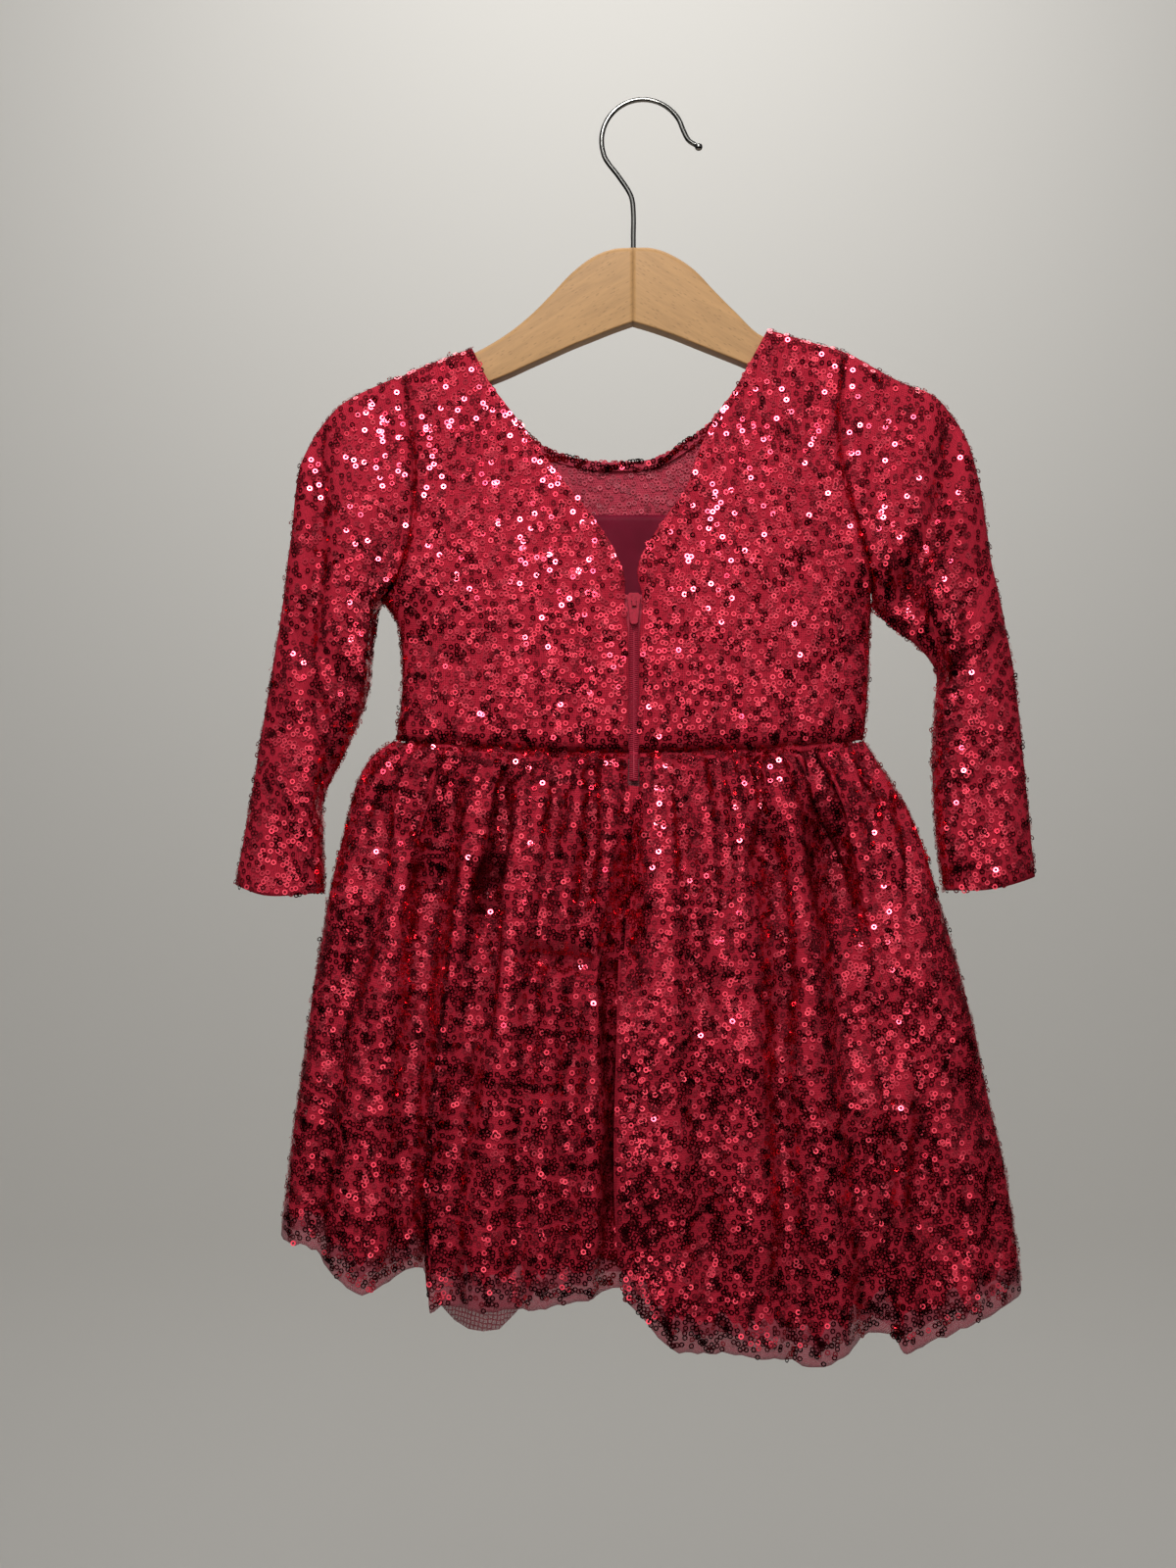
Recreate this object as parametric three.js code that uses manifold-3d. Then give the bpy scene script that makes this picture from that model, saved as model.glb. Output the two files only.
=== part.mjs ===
// A child's long-sleeved sequin dress on a beech hanger, seen from its back.
// Millimetres, +Z up, +X to the wearer's right, -Y behind the wearer.
// The origin is the inside of the hook's crown, where the rail or wall hook touches it.

import * as THREE from 'three';
import Module from 'manifold-3d';
import { mergeVertices } from 'three/addons/utils/BufferGeometryUtils.js';

const wasm = await Module();
wasm.setup();

// ---------------------------------------------------------------- driving dimensions

const WALL = 1.5; // sequinned net with its turned edges
const SEAM = 0.3; // gap between two pieces that are sewn together
const EDGE = SEAM / 2;
const CENTRE_X = -5; // centre line of the dress and of the hanger
const OVAL = 2.5; // exponent of the flattened oval that every section follows

const LINING_WALL = 1.0;
const LINING_GAP = 1.2; // between the front and its lining
const HEM_WALL = 1.0;
const NET_WALL = 1.0;
const NET_INSET = 5.5; // how far the net underskirt hangs inside the skirt
const NECK_HEM_WIDTH = 4.5;
const LINING_TOP_Z = -203;

const ZIP_GAP = 5.2; // between the two back edges, filled by the coil
const COIL_WIDTH = 4.5;
const COIL_THICK = 1.6;
const TAPE_WIDTH = 10;
const TAPE_THICK = 0.7;
const ZIP_TOP_Z = -243;
const SLIDER_LOW_Z = -250.2;
const ZIP_END_Z = -333;

const WIRE_R = 1.25; // hook wire
const HOOK_R = 20.35; // centre line of the hook's loop
const HOOK_BALL_R = 1.95;
const SHANK_X = -4.8;
const SHANK_DEPTH = 12; // into the wood
const WOOD_HALF_THICK = 5.5;

// ---------------------------------------------------------------- tables of the cut, mm

// Half-depths of the bodice behind and before the hanger's plane.
const BODICE_DEPTH = [
  { z: -319, back: 16.5, front: 14.5 },
  { z: -285, back: 17.5, front: 15 },
  { z: -245, back: 18, front: 15 },
  { z: -210, back: 16.5, front: 14 },
  { z: -175, back: 14, front: 12.5 },
  { z: -145, back: 11, front: 10.5 },
  { z: -112, back: 9.5, front: 9.5 },
];

// Reach of the bodice's oval to each side. Above the underarm it runs on into the sleeves.
const BODICE_SIDES = [
  { z: -319, left: -121, right: 107.5 },
  { z: -288, left: -118, right: 110 },
  { z: -266, left: -118.5, right: 111 },
  { z: -254, left: -121, right: 111.2 },
  { z: -245, left: -127.5, right: 112 },
  { z: -232, left: -139, right: 121 },
  { z: -210, left: -149, right: 132 },
  { z: -170, left: -157, right: 141 },
  { z: -112, left: -160, right: 144 },
];

const SIDE_SEAM_LEFT = [
  { x: -121, z: -312.5 },
  { x: -118, z: -288 },
  { x: -118.5, z: -266 },
  { x: -121, z: -254 },
  { x: -127.5, z: -245 },
];

const SIDE_SEAM_RIGHT = [
  { x: 107.5, z: -312.5 },
  { x: 110, z: -288 },
  { x: 111, z: -266 },
  { x: 111.2, z: -254 },
  { x: 112, z: -248 },
];

// Armholes, from the shoulder's tip down to the underarm.
const ARMHOLE_LEFT = [
  { x: -117.6, z: -134 },
  { x: -115, z: -145 },
  { x: -113, z: -160 },
  { x: -111.6, z: -177 },
  { x: -111.6, z: -200 },
  { x: -115, z: -221 },
  { x: -119.5, z: -234 },
  { x: -127.5, z: -245 },
];

const ARMHOLE_RIGHT = [
  { x: 99.4, z: -123 },
  { x: 97, z: -136 },
  { x: 95.2, z: -154 },
  { x: 95.6, z: -174 },
  { x: 99, z: -191 },
  { x: 105, z: -211 },
  { x: 110, z: -228 },
  { x: 112, z: -248 },
];

// The V of the back, from the zip's top up to the neck point, and the round front neck.
const BACK_NECK_LEFT = [
  { x: -8.9, z: -241 },
  { x: -10.4, z: -231 },
  { x: -15, z: -218 },
  { x: -25, z: -204 },
  { x: -34, z: -194 },
  { x: -53, z: -169 },
  { x: -64, z: -154 },
  { x: -75, z: -139 },
  { x: -84, z: -121 },
];

const BACK_NECK_RIGHT = [
  { x: -1.1, z: -241 },
  { x: 0, z: -231 },
  { x: 5, z: -214 },
  { x: 11, z: -204 },
  { x: 19, z: -193 },
  { x: 23.5, z: -182 },
  { x: 31, z: -163 },
  { x: 44.5, z: -142 },
  { x: 61, z: -112 },
];

const FRONT_NECK = [
  { x: -84, z: -121 },
  { x: -73, z: -142 },
  { x: -60, z: -158.5 },
  { x: -46, z: -168.5 },
  { x: -28, z: -173.5 },
  { x: -9, z: -174.5 },
  { x: 8, z: -172 },
  { x: 22, z: -164 },
  { x: 35, z: -154 },
  { x: 45, z: -142 },
  { x: 61, z: -112 },
];

// Silhouettes of the sleeves: outer from the shoulder's tip to the cuff, inner from the underarm.
const SLEEVE_OUTER_LEFT = [
  { x: -117.6, z: -134 },
  { x: -140.6, z: -144 },
  { x: -152.5, z: -153 },
  { x: -162, z: -166 },
  { x: -168.5, z: -181 },
  { x: -172, z: -214 },
  { x: -179.5, z: -267 },
  { x: -189, z: -324 },
  { x: -199, z: -383 },
];

const SLEEVE_INNER_LEFT = [
  { x: -127.5, z: -245 },
  { x: -135, z: -254 },
  { x: -135, z: -270 },
  { x: -135, z: -290 },
  { x: -144, z: -315 },
  { x: -156, z: -341 },
  { x: -156.5, z: -360 },
  { x: -156, z: -387 },
];

const CUFF_LEFT = [
  { x: -199, z: -383 },
  { x: -182, z: -388 },
  { x: -156, z: -387 },
];

const SLEEVE_OUTER_RIGHT = [
  { x: 99.4, z: -123 },
  { x: 124, z: -136.5 },
  { x: 143, z: -145 },
  { x: 157, z: -163 },
  { x: 165, z: -192 },
  { x: 171, z: -230 },
  { x: 181, z: -277 },
  { x: 186, z: -325 },
  { x: 191.5, z: -379 },
];

const SLEEVE_INNER_RIGHT = [
  { x: 112, z: -248 },
  { x: 122, z: -258 },
  { x: 134, z: -266.5 },
  { x: 143, z: -279 },
  { x: 142.5, z: -297 },
  { x: 141.5, z: -326 },
  { x: 143.5, z: -360 },
  { x: 147, z: -386 },
];

const CUFF_RIGHT = [
  { x: 191.5, z: -379 },
  { x: 168, z: -385 },
  { x: 147, z: -386 },
];

// Half-depth of a sleeve by the share of its length from the armhole.
const SLEEVE_DEPTH = [
  { t: 0, back: 14, front: 13 },
  { t: 0.3, back: 15, front: 13 },
  { t: 0.6, back: 13, front: 11 },
  { t: 1, back: 11, front: 9 },
];

// Skirt: its silhouettes and half-depths by height.
const SKIRT_SIZES = [
  { z: -312, left: -121, right: 107.5, back: 16.5, front: 14.5 },
  { z: -320, left: -132, right: 113, back: 19, front: 16 },
  { z: -332, left: -139, right: 121, back: 23, front: 18 },
  { z: -346, left: -143.5, right: 129.5, back: 26, front: 20 },
  { z: -375, left: -150.5, right: 140, back: 30, front: 23 },
  { z: -411, left: -157.5, right: 150.5, back: 33, front: 25 },
  { z: -454, left: -164, right: 161.5, back: 36, front: 26 },
  { z: -497, left: -170, right: 171, back: 38, front: 27 },
  { z: -548, left: -176, right: 181, back: 40, front: 28 },
  { z: -600, left: -178, right: 185, back: 41, front: 28 },
];

// Height of the back hem by the share of the skirt's width, from its left side.
const HEM_BACK = [
  { f: 0, z: -553 },
  { f: 0.06, z: -560 },
  { f: 0.1, z: -574 },
  { f: 0.14, z: -575 },
  { f: 0.19, z: -565 },
  { f: 0.205, z: -583 },
  { f: 0.25, z: -580 },
  { f: 0.34, z: -581 },
  { f: 0.4, z: -579 },
  { f: 0.46, z: -575 },
  { f: 0.485, z: -572 },
  { f: 0.52, z: -602 },
  { f: 0.575, z: -599 },
  { f: 0.68, z: -603 },
  { f: 0.73, z: -608 },
  { f: 0.81, z: -596 },
  { f: 0.85, z: -605 },
  { f: 0.91, z: -594 },
  { f: 1, z: -580 },
];

const HEM_FRONT = [
  { f: 0, z: -553 },
  { f: 0.15, z: -568 },
  { f: 0.3, z: -573 },
  { f: 0.5, z: -578 },
  { f: 0.7, z: -581 },
  { f: 0.85, z: -584 },
  { f: 1, z: -580 },
];

// Soft folds of the skirt. f is the share of its width at the waist and at the hem, from and full
// are shares of its length, depth is in mm and width is a share of the skirt's width.
const FOLDS_BACK = [
  { top: 0.06, hem: 0.055, from: 0.05, full: 0.3, depth: 7, width: 0.022 },
  { top: 0.165, hem: 0.19, from: 0.02, full: 0.3, depth: 12, width: 0.026 },
  { top: 0.275, hem: 0.25, from: 0.02, full: 0.25, depth: 8, width: 0.022 },
  { top: 0.37, hem: 0.35, from: 0, full: 0.12, depth: 5, width: 0.018 },
  { top: 0.43, hem: 0.42, from: 0.02, full: 0.3, depth: 6, width: 0.022 },
  { top: 0.5, hem: 0.5, from: 0, full: 0.3, depth: 15, width: 0.024 },
  { top: 0.6, hem: 0.61, from: 0.05, full: 0.3, depth: 5, width: 0.022 },
  { top: 0.73, hem: 0.71, from: 0.02, full: 0.25, depth: 8, width: 0.022 },
  { top: 0.83, hem: 0.8, from: 0.02, full: 0.3, depth: 10, width: 0.026 },
  { top: 0.93, hem: 0.885, from: 0.03, full: 0.3, depth: 8, width: 0.022 },
];

const FOLDS_FRONT = [
  { top: 0.09, hem: 0.08, from: 0.04, full: 0.3, depth: 6, width: 0.026 },
  { top: 0.22, hem: 0.2, from: 0.02, full: 0.3, depth: 8, width: 0.026 },
  { top: 0.35, hem: 0.33, from: 0.02, full: 0.25, depth: 6, width: 0.024 },
  { top: 0.47, hem: 0.46, from: 0.02, full: 0.3, depth: 9, width: 0.026 },
  { top: 0.6, hem: 0.61, from: 0.02, full: 0.25, depth: 6, width: 0.024 },
  { top: 0.74, hem: 0.75, from: 0.02, full: 0.3, depth: 9, width: 0.026 },
  { top: 0.88, hem: 0.9, from: 0.03, full: 0.3, depth: 7, width: 0.026 },
];

// Short gathers below the waist seam, on each face of the skirt.
const GATHERS = 20;
const COLUMNS_PER_GATHER = { back: 4, front: 3 };
const GATHER_SEWN = 0.8; // height of a gather at the seam
const GATHER_FULL = 1.9; // and where it stands out most

// The centre-back seam swings to the left as it falls.
const CENTRE_SEAM = [
  { z: -312, x: -5 },
  { z: -334, x: -5.3 },
  { z: -382, x: -7.7 },
  { z: -450, x: -9.6 },
  { z: -530, x: -10.6 },
  { z: -600, x: -5 },
];

// The hanger's arms, by the distance from the joint between its two halves.
const HANGER_ARMS = [
  { u: EDGE, topLeft: -72, topRight: -72, lowLeft: -109, lowRight: -109 },
  { u: 10, topLeft: -72.8, topRight: -72.4, lowLeft: -112.5, lowRight: -112 },
  { u: 20, topLeft: -76.8, topRight: -76.2, lowLeft: -116.5, lowRight: -115.5 },
  { u: 30, topLeft: -84.5, topRight: -83, lowLeft: -120.5, lowRight: -119.5 },
  { u: 40, topLeft: -95, topRight: -93.5, lowLeft: -125, lowRight: -123.5 },
  { u: 50, topLeft: -105, topRight: -103.5, lowLeft: -129.5, lowRight: -127.5 },
  { u: 62, topLeft: -114.5, topRight: -114.6, lowLeft: -135, lowRight: -132.5 },
  { u: 78, topLeft: -123.7, topRight: -117.9, lowLeft: -141, lowRight: -138 },
  { u: 95, topLeft: -129.9, topRight: -123, lowLeft: -145.5, lowRight: -141 },
  { u: 110, topLeft: -137, topRight: -131, lowLeft: -149.5, lowRight: -145 },
  { u: 124, topLeft: -143, topRight: -138.5, lowLeft: -152, lowRight: -148 },
  { u: 131, topLeft: -147, topRight: -142.5, lowLeft: -152, lowRight: -147.5 },
];

// ---------------------------------------------------------------- colours

const SEQUIN_RED = 0xb01c33;
const INSIDE_RED = 0xa83444;
const LINING_RED = 0x6a1027;
const NET_PINK = 0xb8545f;
const ZIP_RED = 0x8c1a2e;
const BEECH = 0xd9b98a;
const STEEL = 0xb9bcc0;

// ---------------------------------------------------------------- curves and tables

const lerp = (a, b, t) => a + (b - a) * t;
const clamp = (t) => Math.min(1, Math.max(0, t));
const smooth = (t) => clamp(t) * clamp(t) * (3 - 2 * clamp(t));

// Value at `at` of a cubic through the given places and values, flat beyond the ends.
function cubic(places, values, at) {
  const last = places.length - 1;
  if (at <= places[0]) return values[0];
  if (at >= places[last]) return values[last];
  let i = 0;
  while (places[i + 1] < at) i += 1;
  const slope = (j) => {
    const lo = Math.max(0, j - 1);
    const hi = Math.min(last, j + 1);
    return (values[hi] - values[lo]) / (places[hi] - places[lo]);
  };
  const span = places[i + 1] - places[i];
  const t = (at - places[i]) / span;
  const t2 = t * t;
  const t3 = t2 * t;
  const bend = (t3 - 2 * t2 + t) * slope(i) + (t3 - t2) * slope(i + 1);
  return (2 * t3 - 3 * t2 + 1) * values[i] + (3 * t2 - 2 * t3) * values[i + 1] + span * bend;
}

// One column of a table at a place, whichever way the table runs.
function column(rows, by, name, at) {
  const sorted = rows[0][by] < rows[rows.length - 1][by] ? rows : [...rows].reverse();
  return cubic(sorted.map((row) => row[by]), sorted.map((row) => row[name]), at);
}

// A smooth line through points in the XZ plane, by the share of its length.
function line(points, shiftX = 0) {
  const reach = [0];
  for (let i = 1; i < points.length; i += 1) {
    const step = Math.hypot(points[i].x - points[i - 1].x, points[i].z - points[i - 1].z);
    reach.push(reach[i - 1] + step);
  }
  const total = reach[reach.length - 1];
  const xs = points.map((point) => point.x);
  const zs = points.map((point) => point.z);
  return (t) => [cubic(reach, xs, t * total) + shiftX, cubic(reach, zs, t * total)];
}

const reversed = (edge) => (t) => edge(1 - t);
const straight = (a, b) => (t) => [lerp(a[0], b[0], t), lerp(a[1], b[1], t)];

// Two lines joined at the given share.
const joined = (first, second, share) => (t) =>
  t < share ? first(t / share) : second((t - share) / (1 - share));

// A patch between four lines in the XZ plane: low and high run with f, left and right with v.
function patch(low, high, left, right) {
  return (f, v) => [0, 1].map((axis) => {
    const across = lerp(left(v)[axis], right(v)[axis], f);
    const up = lerp(low(f)[axis], high(f)[axis], v);
    const below = lerp(low(0)[axis], low(1)[axis], f);
    const above = lerp(high(0)[axis], high(1)[axis], f);
    return across + up - lerp(below, above, v);
  });
}

// ---------------------------------------------------------------- walls and meshes

const part = new THREE.Group();

function addMesh(name, geometry, colour, roughness, metalness) {
  const material = new THREE.MeshStandardMaterial({ color: colour, roughness, metalness });
  const mesh = new THREE.Mesh(geometry, material);
  mesh.name = name;
  part.add(mesh);
  return mesh;
}

function volumeOf(positions, triangles) {
  let sum = 0;
  for (let i = 0; i < triangles.length; i += 3) {
    const [a, b, c] = [0, 1, 2].map((k) => positions.slice(3 * triangles[i + k], 3 * triangles[i + k] + 3));
    sum += a[0] * (b[1] * c[2] - b[2] * c[1]) + a[1] * (b[2] * c[0] - b[0] * c[2]);
    sum += a[2] * (b[0] * c[1] - b[1] * c[0]);
  }
  return sum;
}

function meshGeometry(positions, triangles) {
  if (volumeOf(positions, triangles) < 0) {
    for (let i = 0; i < triangles.length; i += 3) {
      [triangles[i + 1], triangles[i + 2]] = [triangles[i + 2], triangles[i + 1]];
    }
  }
  const geometry = new THREE.BufferGeometry();
  geometry.setAttribute('position', new THREE.Float32BufferAttribute(positions, 3));
  geometry.setIndex(triangles);
  geometry.computeVertexNormals();
  return geometry;
}

// A closed wall over a grid. point(u, v, inset) gives the outer face at inset 0 and the inner face
// at inset thick. A ring closes on itself along u.
function wall(us, vs, point, thick, ring = false) {
  const positions = [];
  const triangles = [];
  for (const inset of [0, thick]) {
    for (const v of vs) {
      for (const u of us) positions.push(...point(u, v, inset));
    }
  }
  const count = us.length;
  const layer = count * vs.length;
  const at = (i, j, side) => side * layer + j * count + (i % count);
  const quad = (a, b, c, d) => triangles.push(a, b, c, a, c, d);
  const spans = ring ? count : count - 1;
  for (let j = 0; j < vs.length - 1; j += 1) {
    for (let i = 0; i < spans; i += 1) {
      quad(at(i, j, 0), at(i + 1, j, 0), at(i + 1, j + 1, 0), at(i, j + 1, 0));
      quad(at(i, j, 1), at(i, j + 1, 1), at(i + 1, j + 1, 1), at(i + 1, j, 1));
    }
  }
  const top = vs.length - 1;
  for (let i = 0; i < spans; i += 1) {
    quad(at(i, 0, 0), at(i, 0, 1), at(i + 1, 0, 1), at(i + 1, 0, 0));
    quad(at(i, top, 0), at(i + 1, top, 0), at(i + 1, top, 1), at(i, top, 1));
  }
  if (!ring) {
    for (let j = 0; j < top; j += 1) {
      quad(at(0, j, 0), at(0, j + 1, 0), at(0, j + 1, 1), at(0, j, 1));
      quad(at(count - 1, j, 0), at(count - 1, j, 1), at(count - 1, j + 1, 1), at(count - 1, j + 1, 0));
    }
  }
  return meshGeometry(positions, triangles);
}

// A closed solid through a row of rings, each a list of points.
function loft(rings) {
  const positions = rings.flat(2);
  const triangles = [];
  const sides = rings[0].length;
  for (let j = 0; j < rings.length - 1; j += 1) {
    for (let i = 0; i < sides; i += 1) {
      const [a, b] = [j * sides + i, j * sides + ((i + 1) % sides)];
      triangles.push(a, b, b + sides, a, b + sides, a + sides);
    }
  }
  const last = (rings.length - 1) * sides;
  for (let i = 1; i < sides - 1; i += 1) {
    triangles.push(0, i + 1, i);
    triangles.push(last, last + i, last + i + 1);
  }
  return meshGeometry(positions, triangles);
}

function toSolid(geometry) {
  const bare = geometry.index ? geometry.toNonIndexed() : geometry.clone();
  bare.deleteAttribute('normal');
  bare.deleteAttribute('uv');
  const merged = mergeVertices(bare, 1e-4);
  return new wasm.Manifold(new wasm.Mesh({
    numProp: 3,
    vertProperties: Float32Array.from(merged.attributes.position.array),
    triVerts: Uint32Array.from(merged.index.array),
  }));
}

function fromSolid(solid) {
  const mesh = solid.getMesh();
  return meshGeometry(Array.from(mesh.vertProperties), Array.from(mesh.triVerts));
}

// ---------------------------------------------------------------- bodice

const UNDERARM = 0.4; // share of a bodice edge that lies below the underarm
const ARM_STEPS = [0, 0.025, 0.07, 0.14, 0.25, 0.38, 0.52, 0.66, 0.79, 0.9, 1];
const BODICE_ROWS = [
  ...[0, 0.3, 0.6, 0.85].map((t) => t * UNDERARM),
  ...[...ARM_STEPS].reverse().map((t) => lerp(UNDERARM, 1, 1 - t)),
];
const CREST = 9; // height over which the shoulder rounds over the hanger

const rounding = (t) => (1 - (1 - clamp(t)) ** OVAL) ** (1 / OVAL);
const ovalHeight = (q) => (1 - Math.min(1, Math.abs(q)) ** OVAL) ** (1 / OVAL);

const SHOULDERS = [
  { x: ARMHOLE_LEFT[0].x, z: ARMHOLE_LEFT[0].z },
  { x: BACK_NECK_LEFT[BACK_NECK_LEFT.length - 1].x, z: BACK_NECK_LEFT[BACK_NECK_LEFT.length - 1].z },
  { x: BACK_NECK_RIGHT[BACK_NECK_RIGHT.length - 1].x, z: BACK_NECK_RIGHT[BACK_NECK_RIGHT.length - 1].z },
  { x: ARMHOLE_RIGHT[0].x, z: ARMHOLE_RIGHT[0].z },
];

// Height of the shoulder line, straight on each side of the neck.
function shoulderZ(x) {
  const [a, b] = x < CENTRE_X ? [SHOULDERS[0], SHOULDERS[1]] : [SHOULDERS[2], SHOULDERS[3]];
  return lerp(a.z, b.z, (x - a.x) / (b.x - a.x));
}

// The bodice's surface over a point of the XZ plane, moved in by inset. face is 'back' or 'front'.
function bodicePoint(face, x, z, inset) {
  const side = x < CENTRE_X ? 'left' : 'right';
  const reach = Math.abs(column(BODICE_SIDES, 'z', side, z) - CENTRE_X);
  const q = (x - CENTRE_X) / reach;
  const below = Math.max(0, shoulderZ(x) - z);
  const crest = rounding(below / CREST);
  const innerX = CENTRE_X + q * (reach - inset);
  const depth = (column(BODICE_DEPTH, 'z', face, z) - inset) * ovalHeight(q) * crest;
  const y = Math.max(EDGE, depth);
  return [innerX, face === 'back' ? -y : y, z - inset * (1 - crest)];
}

const armhole = {
  left: (shift = 0) => line(ARMHOLE_LEFT, shift),
  right: (shift = 0) => line(ARMHOLE_RIGHT, shift),
};
const outerEdge = {
  left: joined(line(SIDE_SEAM_LEFT), reversed(armhole.left(EDGE)), UNDERARM),
  right: joined(line(SIDE_SEAM_RIGHT), reversed(armhole.right(-EDGE)), UNDERARM),
};
const WAIST_SAG = 6.3; // the waist seam hangs lower in the middle than at the sides
const WAIST_SIDE_Z = SIDE_SEAM_LEFT[0].z;
const waistZ = (x) => WAIST_SIDE_Z - WAIST_SAG * (1 - ((x - CENTRE_X) / 116) ** 2);

function waistEdge(fromX, toX) {
  return (t) => [lerp(fromX, toX, t), waistZ(lerp(fromX, toX, t)) + EDGE];
}

function backPanel(side) {
  const sign = side === 'left' ? -1 : 1;
  const zipX = CENTRE_X + (sign * ZIP_GAP) / 2;
  const neck = line(side === 'left' ? BACK_NECK_LEFT : BACK_NECK_RIGHT);
  const seam = side === 'left' ? SIDE_SEAM_LEFT : SIDE_SEAM_RIGHT;
  // The edge along the zip opens a little round the slider.
  const zip = line([
    { x: zipX, z: waistZ(zipX) + EDGE },
    { x: zipX, z: SLIDER_LOW_Z - 12 },
    { x: neck(0)[0], z: SLIDER_LOW_Z },
    { x: neck(0)[0], z: neck(0)[1] },
  ]);
  const shape = patch(
    waistEdge(seam[0].x, zipX),
    straight(outerEdge[side](1), neck(1)),
    outerEdge[side],
    joined(zip, neck, UNDERARM),
  );
  const steps = [0, 0.012, 0.05, 0.12, 0.22, 0.34, 0.46, 0.58, 0.7, 0.82, 0.92, 1];
  const point = (f, v, inset) => bodicePoint('back', ...shape(f, v), inset);
  return wall(steps, BODICE_ROWS, point, WALL);
}

const FRONT_STEPS = [
  0, 0.006, 0.025, 0.06, 0.1, 0.14, 0.18, 0.1845, 0.195, 0.22, 0.28, 0.34, 0.4, 0.46,
  0.54, 0.6, 0.66, 0.72, 0.78, 0.805, 0.8155, 0.82, 0.86, 0.9, 0.94, 0.975, 0.994, 1,
];
const NECK_SHARE = { left: 0.18, right: 0.82 }; // where the neck points lie on the front's top edge

function frontTop() {
  const neck = line(FRONT_NECK);
  const { left, right } = NECK_SHARE;
  return (t) => {
    if (t < left) return straight(outerEdge.left(1), neck(0))(t / left);
    if (t > right) return straight(neck(1), outerEdge.right(1))((t - right) / (1 - right));
    return neck((t - left) / (right - left));
  };
}

const frontShape = patch(
  waistEdge(SIDE_SEAM_LEFT[0].x, SIDE_SEAM_RIGHT[0].x),
  frontTop(),
  outerEdge.left,
  outerEdge.right,
);

function frontPanel() {
  const point = (f, v, inset) => bodicePoint('front', ...frontShape(f, v), inset);
  return wall(FRONT_STEPS, BODICE_ROWS, point, WALL);
}

// The front's lining, inside its wall, with a straight top edge from armhole to armhole.
function frontLining() {
  const edgeAt = (side, t) => outerEdge[side](t * 0.62);
  const topLeft = edgeAt('left', 1);
  const topRight = edgeAt('right', 1);
  const inner = WALL + LINING_GAP;
  const clear = 9; // the lining's edges stay inside the side seams
  const shape = patch(
    waistEdge(SIDE_SEAM_LEFT[0].x + clear, SIDE_SEAM_RIGHT[0].x - clear),
    straight([topLeft[0] + clear, LINING_TOP_Z], [topRight[0] - clear, LINING_TOP_Z]),
    straight([SIDE_SEAM_LEFT[0].x + clear, WAIST_SIDE_Z], [topLeft[0] + clear, LINING_TOP_Z]),
    straight([SIDE_SEAM_RIGHT[0].x - clear, WAIST_SIDE_Z], [topRight[0] - clear, LINING_TOP_Z]),
  );
  const point = (f, v, inset) => bodicePoint('front', ...shape(f, v), inset + inner);
  return wall(FRONT_STEPS, [0, 0.25, 0.5, 0.75, 1], point, LINING_WALL);
}

// The front neck's turned hem, lying on the inside of the front.
function neckHem() {
  const neck = line(FRONT_NECK);
  const inner = WALL + SEAM;
  const point = (t, v, inset) => {
    const [x, z] = neck(lerp(0.09, 0.91, t));
    const [nextX, nextZ] = neck(lerp(0.09, 0.91, t) + 0.01);
    const length = Math.hypot(nextX - x, nextZ - z);
    const down = v * NECK_HEM_WIDTH;
    return bodicePoint('front', x + ((nextZ - z) / length) * down,
      z - ((nextX - x) / length) * down, inset + inner);
  };
  const steps = Array.from({ length: 25 }, (_, i) => i / 24);
  return wall(steps, [0, 0.5, 1], point, HEM_WALL);
}

// ---------------------------------------------------------------- sleeves

const SLEEVE_ROWS = [0, 0.05, 0.12, 0.2, 0.29, 0.38, 0.48, 0.58, 0.68, 0.78, 0.89, 1];

function sleeve(side) {
  const isLeft = side === 'left';
  const shift = isLeft ? -EDGE : EDGE;
  const hole = armhole[side](shift);
  const outer = line(isLeft ? SLEEVE_OUTER_LEFT : SLEEVE_OUTER_RIGHT, shift);
  const inner = line(isLeft ? SLEEVE_INNER_LEFT : SLEEVE_INNER_RIGHT, shift);
  const cuff = line(isLeft ? CUFF_LEFT : CUFF_RIGHT, shift);
  const shape = patch(hole, cuff, outer, inner);
  // Round the tube: the back face from the outer to the inner silhouette, then the front face back.
  const round = [
    ...ARM_STEPS.map((f) => ({ f, face: 'back' })),
    ...ARM_STEPS.slice(1, -1).reverse().map((f) => ({ f, face: 'front' })),
  ];
  const point = (index, v, inset) => {
    const { f, face } = round[index];
    const [x, z] = shape(f, v);
    const [outX, outZ] = outer(v);
    const [inX, inZ] = inner(v);
    const width = Math.hypot(inX - outX, inZ - outZ);
    const pull = (inset * (1 - 2 * f)) / width;
    const atHole = Math.abs(bodicePoint(face, ...hole(f), 0)[1]);
    const full = column(SLEEVE_DEPTH, 't', face, v) * ovalHeight(1 - 2 * f);
    const isEnd = f === 0 || f === 1;
    const depth = isEnd ? 0 : lerp(atHole, full, smooth(v / 0.3)) - inset * ovalHeight(1 - 2 * f);
    return [x + (inX - outX) * pull, face === 'back' ? -depth : depth, z + (inZ - outZ) * pull];
  };
  return wall(round.map((_, i) => i), SLEEVE_ROWS, point, WALL, true);
}

// ---------------------------------------------------------------- skirt

const ZIP_END_SHARE = 0.062; // of the skirt's length
const SKIRT_ROWS = [0, 0.03, ZIP_END_SHARE, 0.11, 0.2, 0.32, 0.48, 0.66, 0.84, 1];
const SKIRT_MEAN = { halfWidth: 150, depth: 30 };

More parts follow.
